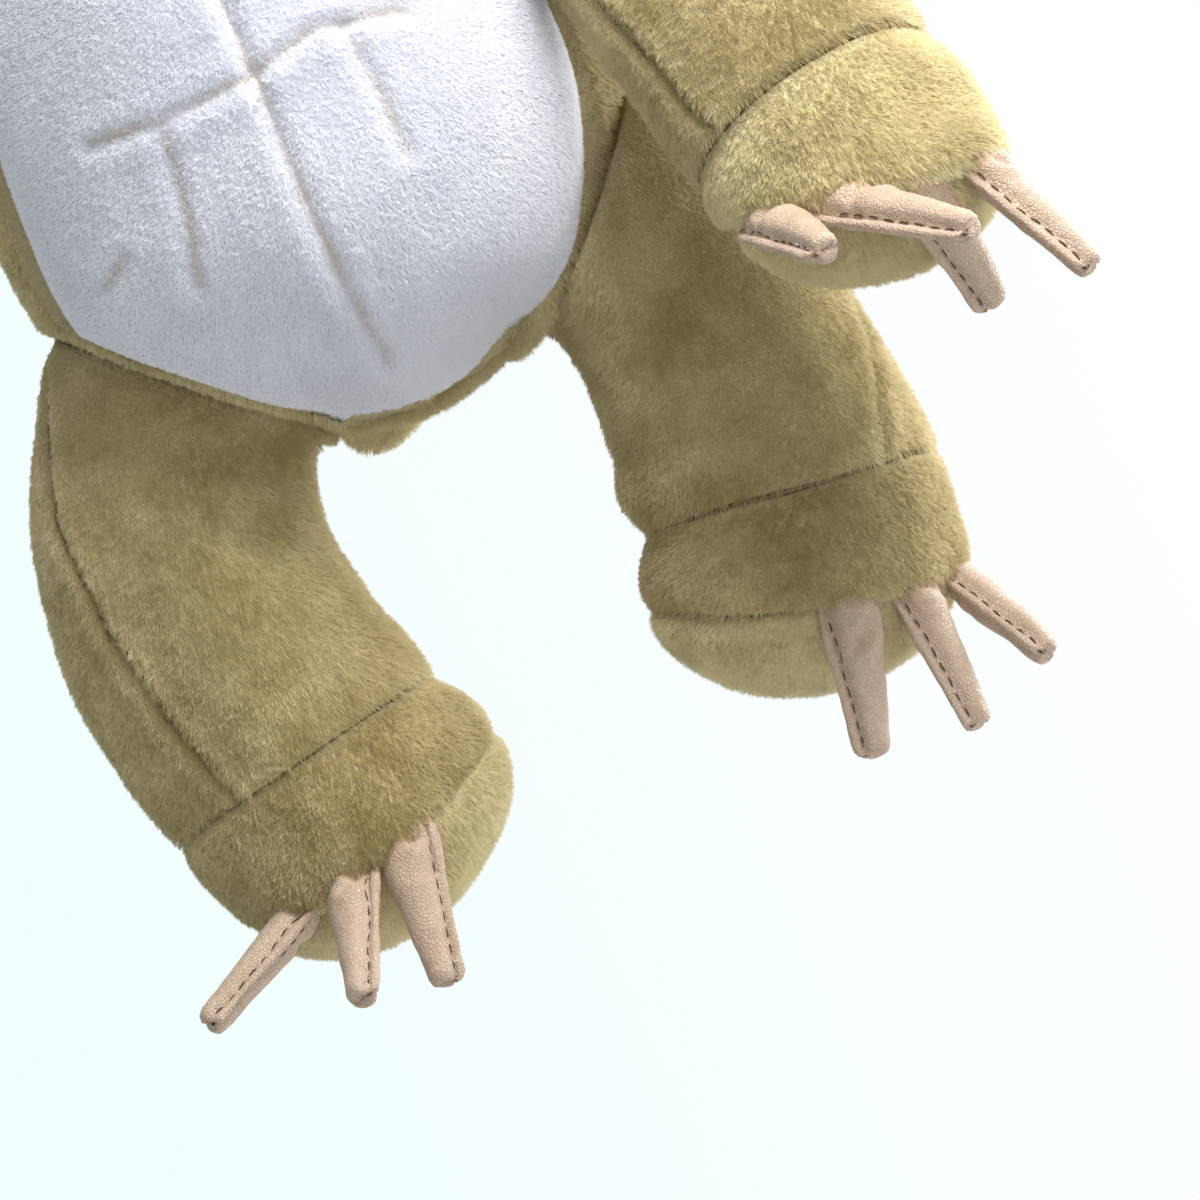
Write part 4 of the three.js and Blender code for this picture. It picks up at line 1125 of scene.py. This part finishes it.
for radius, stand in NOSE_SHARES:
    centre = spot + FRONT * NOSE_PROUD * stand
    wide, high = radius * NOSE_HALF_WIDTH, radius * NOSE_HALF_HEIGHT
    rows.append([centre + Vector((wide * math.cos(t), 0, high * math.sin(t))) for t in turns(NOSE_SIDES)])
nose = loft("nose_pad", rows, nose_fabric)
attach(nose, "head")
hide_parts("nose")

MOUTH_HALF_WIDTH, MOUTH_UP, MOUTH_CURL, MOUTH_THREAD, MOUTH_STEPS = 12 * MM, 27 * MM, 3 * MM, 0.7 * MM, 24
path, sizes = [], []
for i in range(MOUTH_STEPS + 1):
    share = 2 * i / MOUTH_STEPS - 1
    spot, normal = on_head(share * MOUTH_HALF_WIDTH, MOUTH_UP + MOUTH_CURL * share ** 2)
    path.append(spot + normal * (1.0 * MM + MOUTH_THREAD))
    # the stitches swell the line, and it ends thinner
    sizes.append(MOUTH_THREAD * (0.5 if i in (0, MOUTH_STEPS) else 1 + 0.12 * (i % 2)))
mouth = loft("mouth_line", rod_rows(path, sizes, 8, FRONT), nose_fabric)
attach(mouth, "head")
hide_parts("mouth_stitch")

# Studio
# A pale floor well under the hanging toy, soft lamps, a white surround and the camera, which is
# rolled as the photograph is.
FLOOR_DROP, FLOOR_RADIUS = 370 * MM, 0.7
floor_mesh = bpy.data.meshes.new("floor")
edge = [(FLOOR_RADIUS * math.cos(t), FLOOR_RADIUS * math.sin(t), 0) for t in turns(64)]
floor_mesh.from_pydata(edge, [], [tuple(range(64))])
floor = new_object("floor", floor_mesh)
floor.location.z = -FLOOR_DROP
floor_paint = bpy.data.materials.new("floor_paint")
values = {"Base Color": (0.82, 0.85, 0.86, 1), "Roughness": 0.9}
finish_material(emptied(floor_paint).node("ShaderNodeBsdfPrincipled", {}, values))
floor_mesh.materials.append(floor_paint)
floor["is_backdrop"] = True

# the camera and reflections see a white surround, and a weaker one lights the object
world = bpy.data.worlds.new("surround")
bpy.context.scene.world = world
start = emptied(world)
seen = start.node("ShaderNodeLightPath", out="Is Camera Ray")
for kind in ("Is Glossy Ray", "Is Transmission Ray"):
    seen = seen.maths("MAXIMUM", seen, start.node("ShaderNodeLightPath", out=kind))
across = start.node("ShaderNodeSeparateXYZ", {}, {0: start.node("ShaderNodeTexCoord", out="Generated")})
surround = across.between(-0.13, 0.14).mix((0.88, 0.99, 1.0), (1, 1, 1))
shown = start.node("ShaderNodeBackground", {}, {"Color": surround, "Strength": 1.0})
glow = start.node("ShaderNodeBackground", {}, {"Color": (0.96, 0.98, 1.0, 1), "Strength": 0.36})
mixed = start.node("ShaderNodeMixShader", {}, {0: seen, 1: glow, 2: shown})
mixed.node("ShaderNodeOutputWorld", {}, {"Surface": mixed})


def lamp(name, place, target, size, watts):
    data = bpy.data.lights.new(name, "AREA")
    data.size, data.energy = size, watts
    made = new_object(name, data)
    made.location = place
    made.rotation_euler = (Vector(target) - Vector(place)).to_track_quat("-Z", "Y").to_euler()
    made.visible_camera = False


lamp("key", (0.3, -0.27, 0.4), (0.03, 0, 0.05), 0.3, 4.6)
lamp("rim", (0.75, 0.45, 0.1), (0.05, 0, 0), 0.5, 9)
lamp("fill", (0.35, -1.1, 0.15), (0, 0, 0), 0.8, 2.3)

ROLL, LENS, SENSOR = math.radians(24), 135, 36
CAMERA_PLACE = Vector((19.4, -900, -46.7)) * MM
right, up = Vector((math.cos(ROLL), 0, -math.sin(ROLL))), Vector((math.sin(ROLL), 0, math.cos(ROLL)))
camera_data = bpy.data.cameras.new("camera")
camera_data.lens, camera_data.sensor_width = LENS, SENSOR
camera = new_object("camera", camera_data)
camera.matrix_world = Matrix.Translation(CAMERA_PLACE) @ Matrix((right, up, FRONT)).transposed().to_4x4()
bpy.context.scene.camera = camera
bpy.context.scene.view_settings.view_transform = "Standard"

sizes = {"cad": [list(v) for v in cad_box], "visual": [list(v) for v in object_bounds()]}
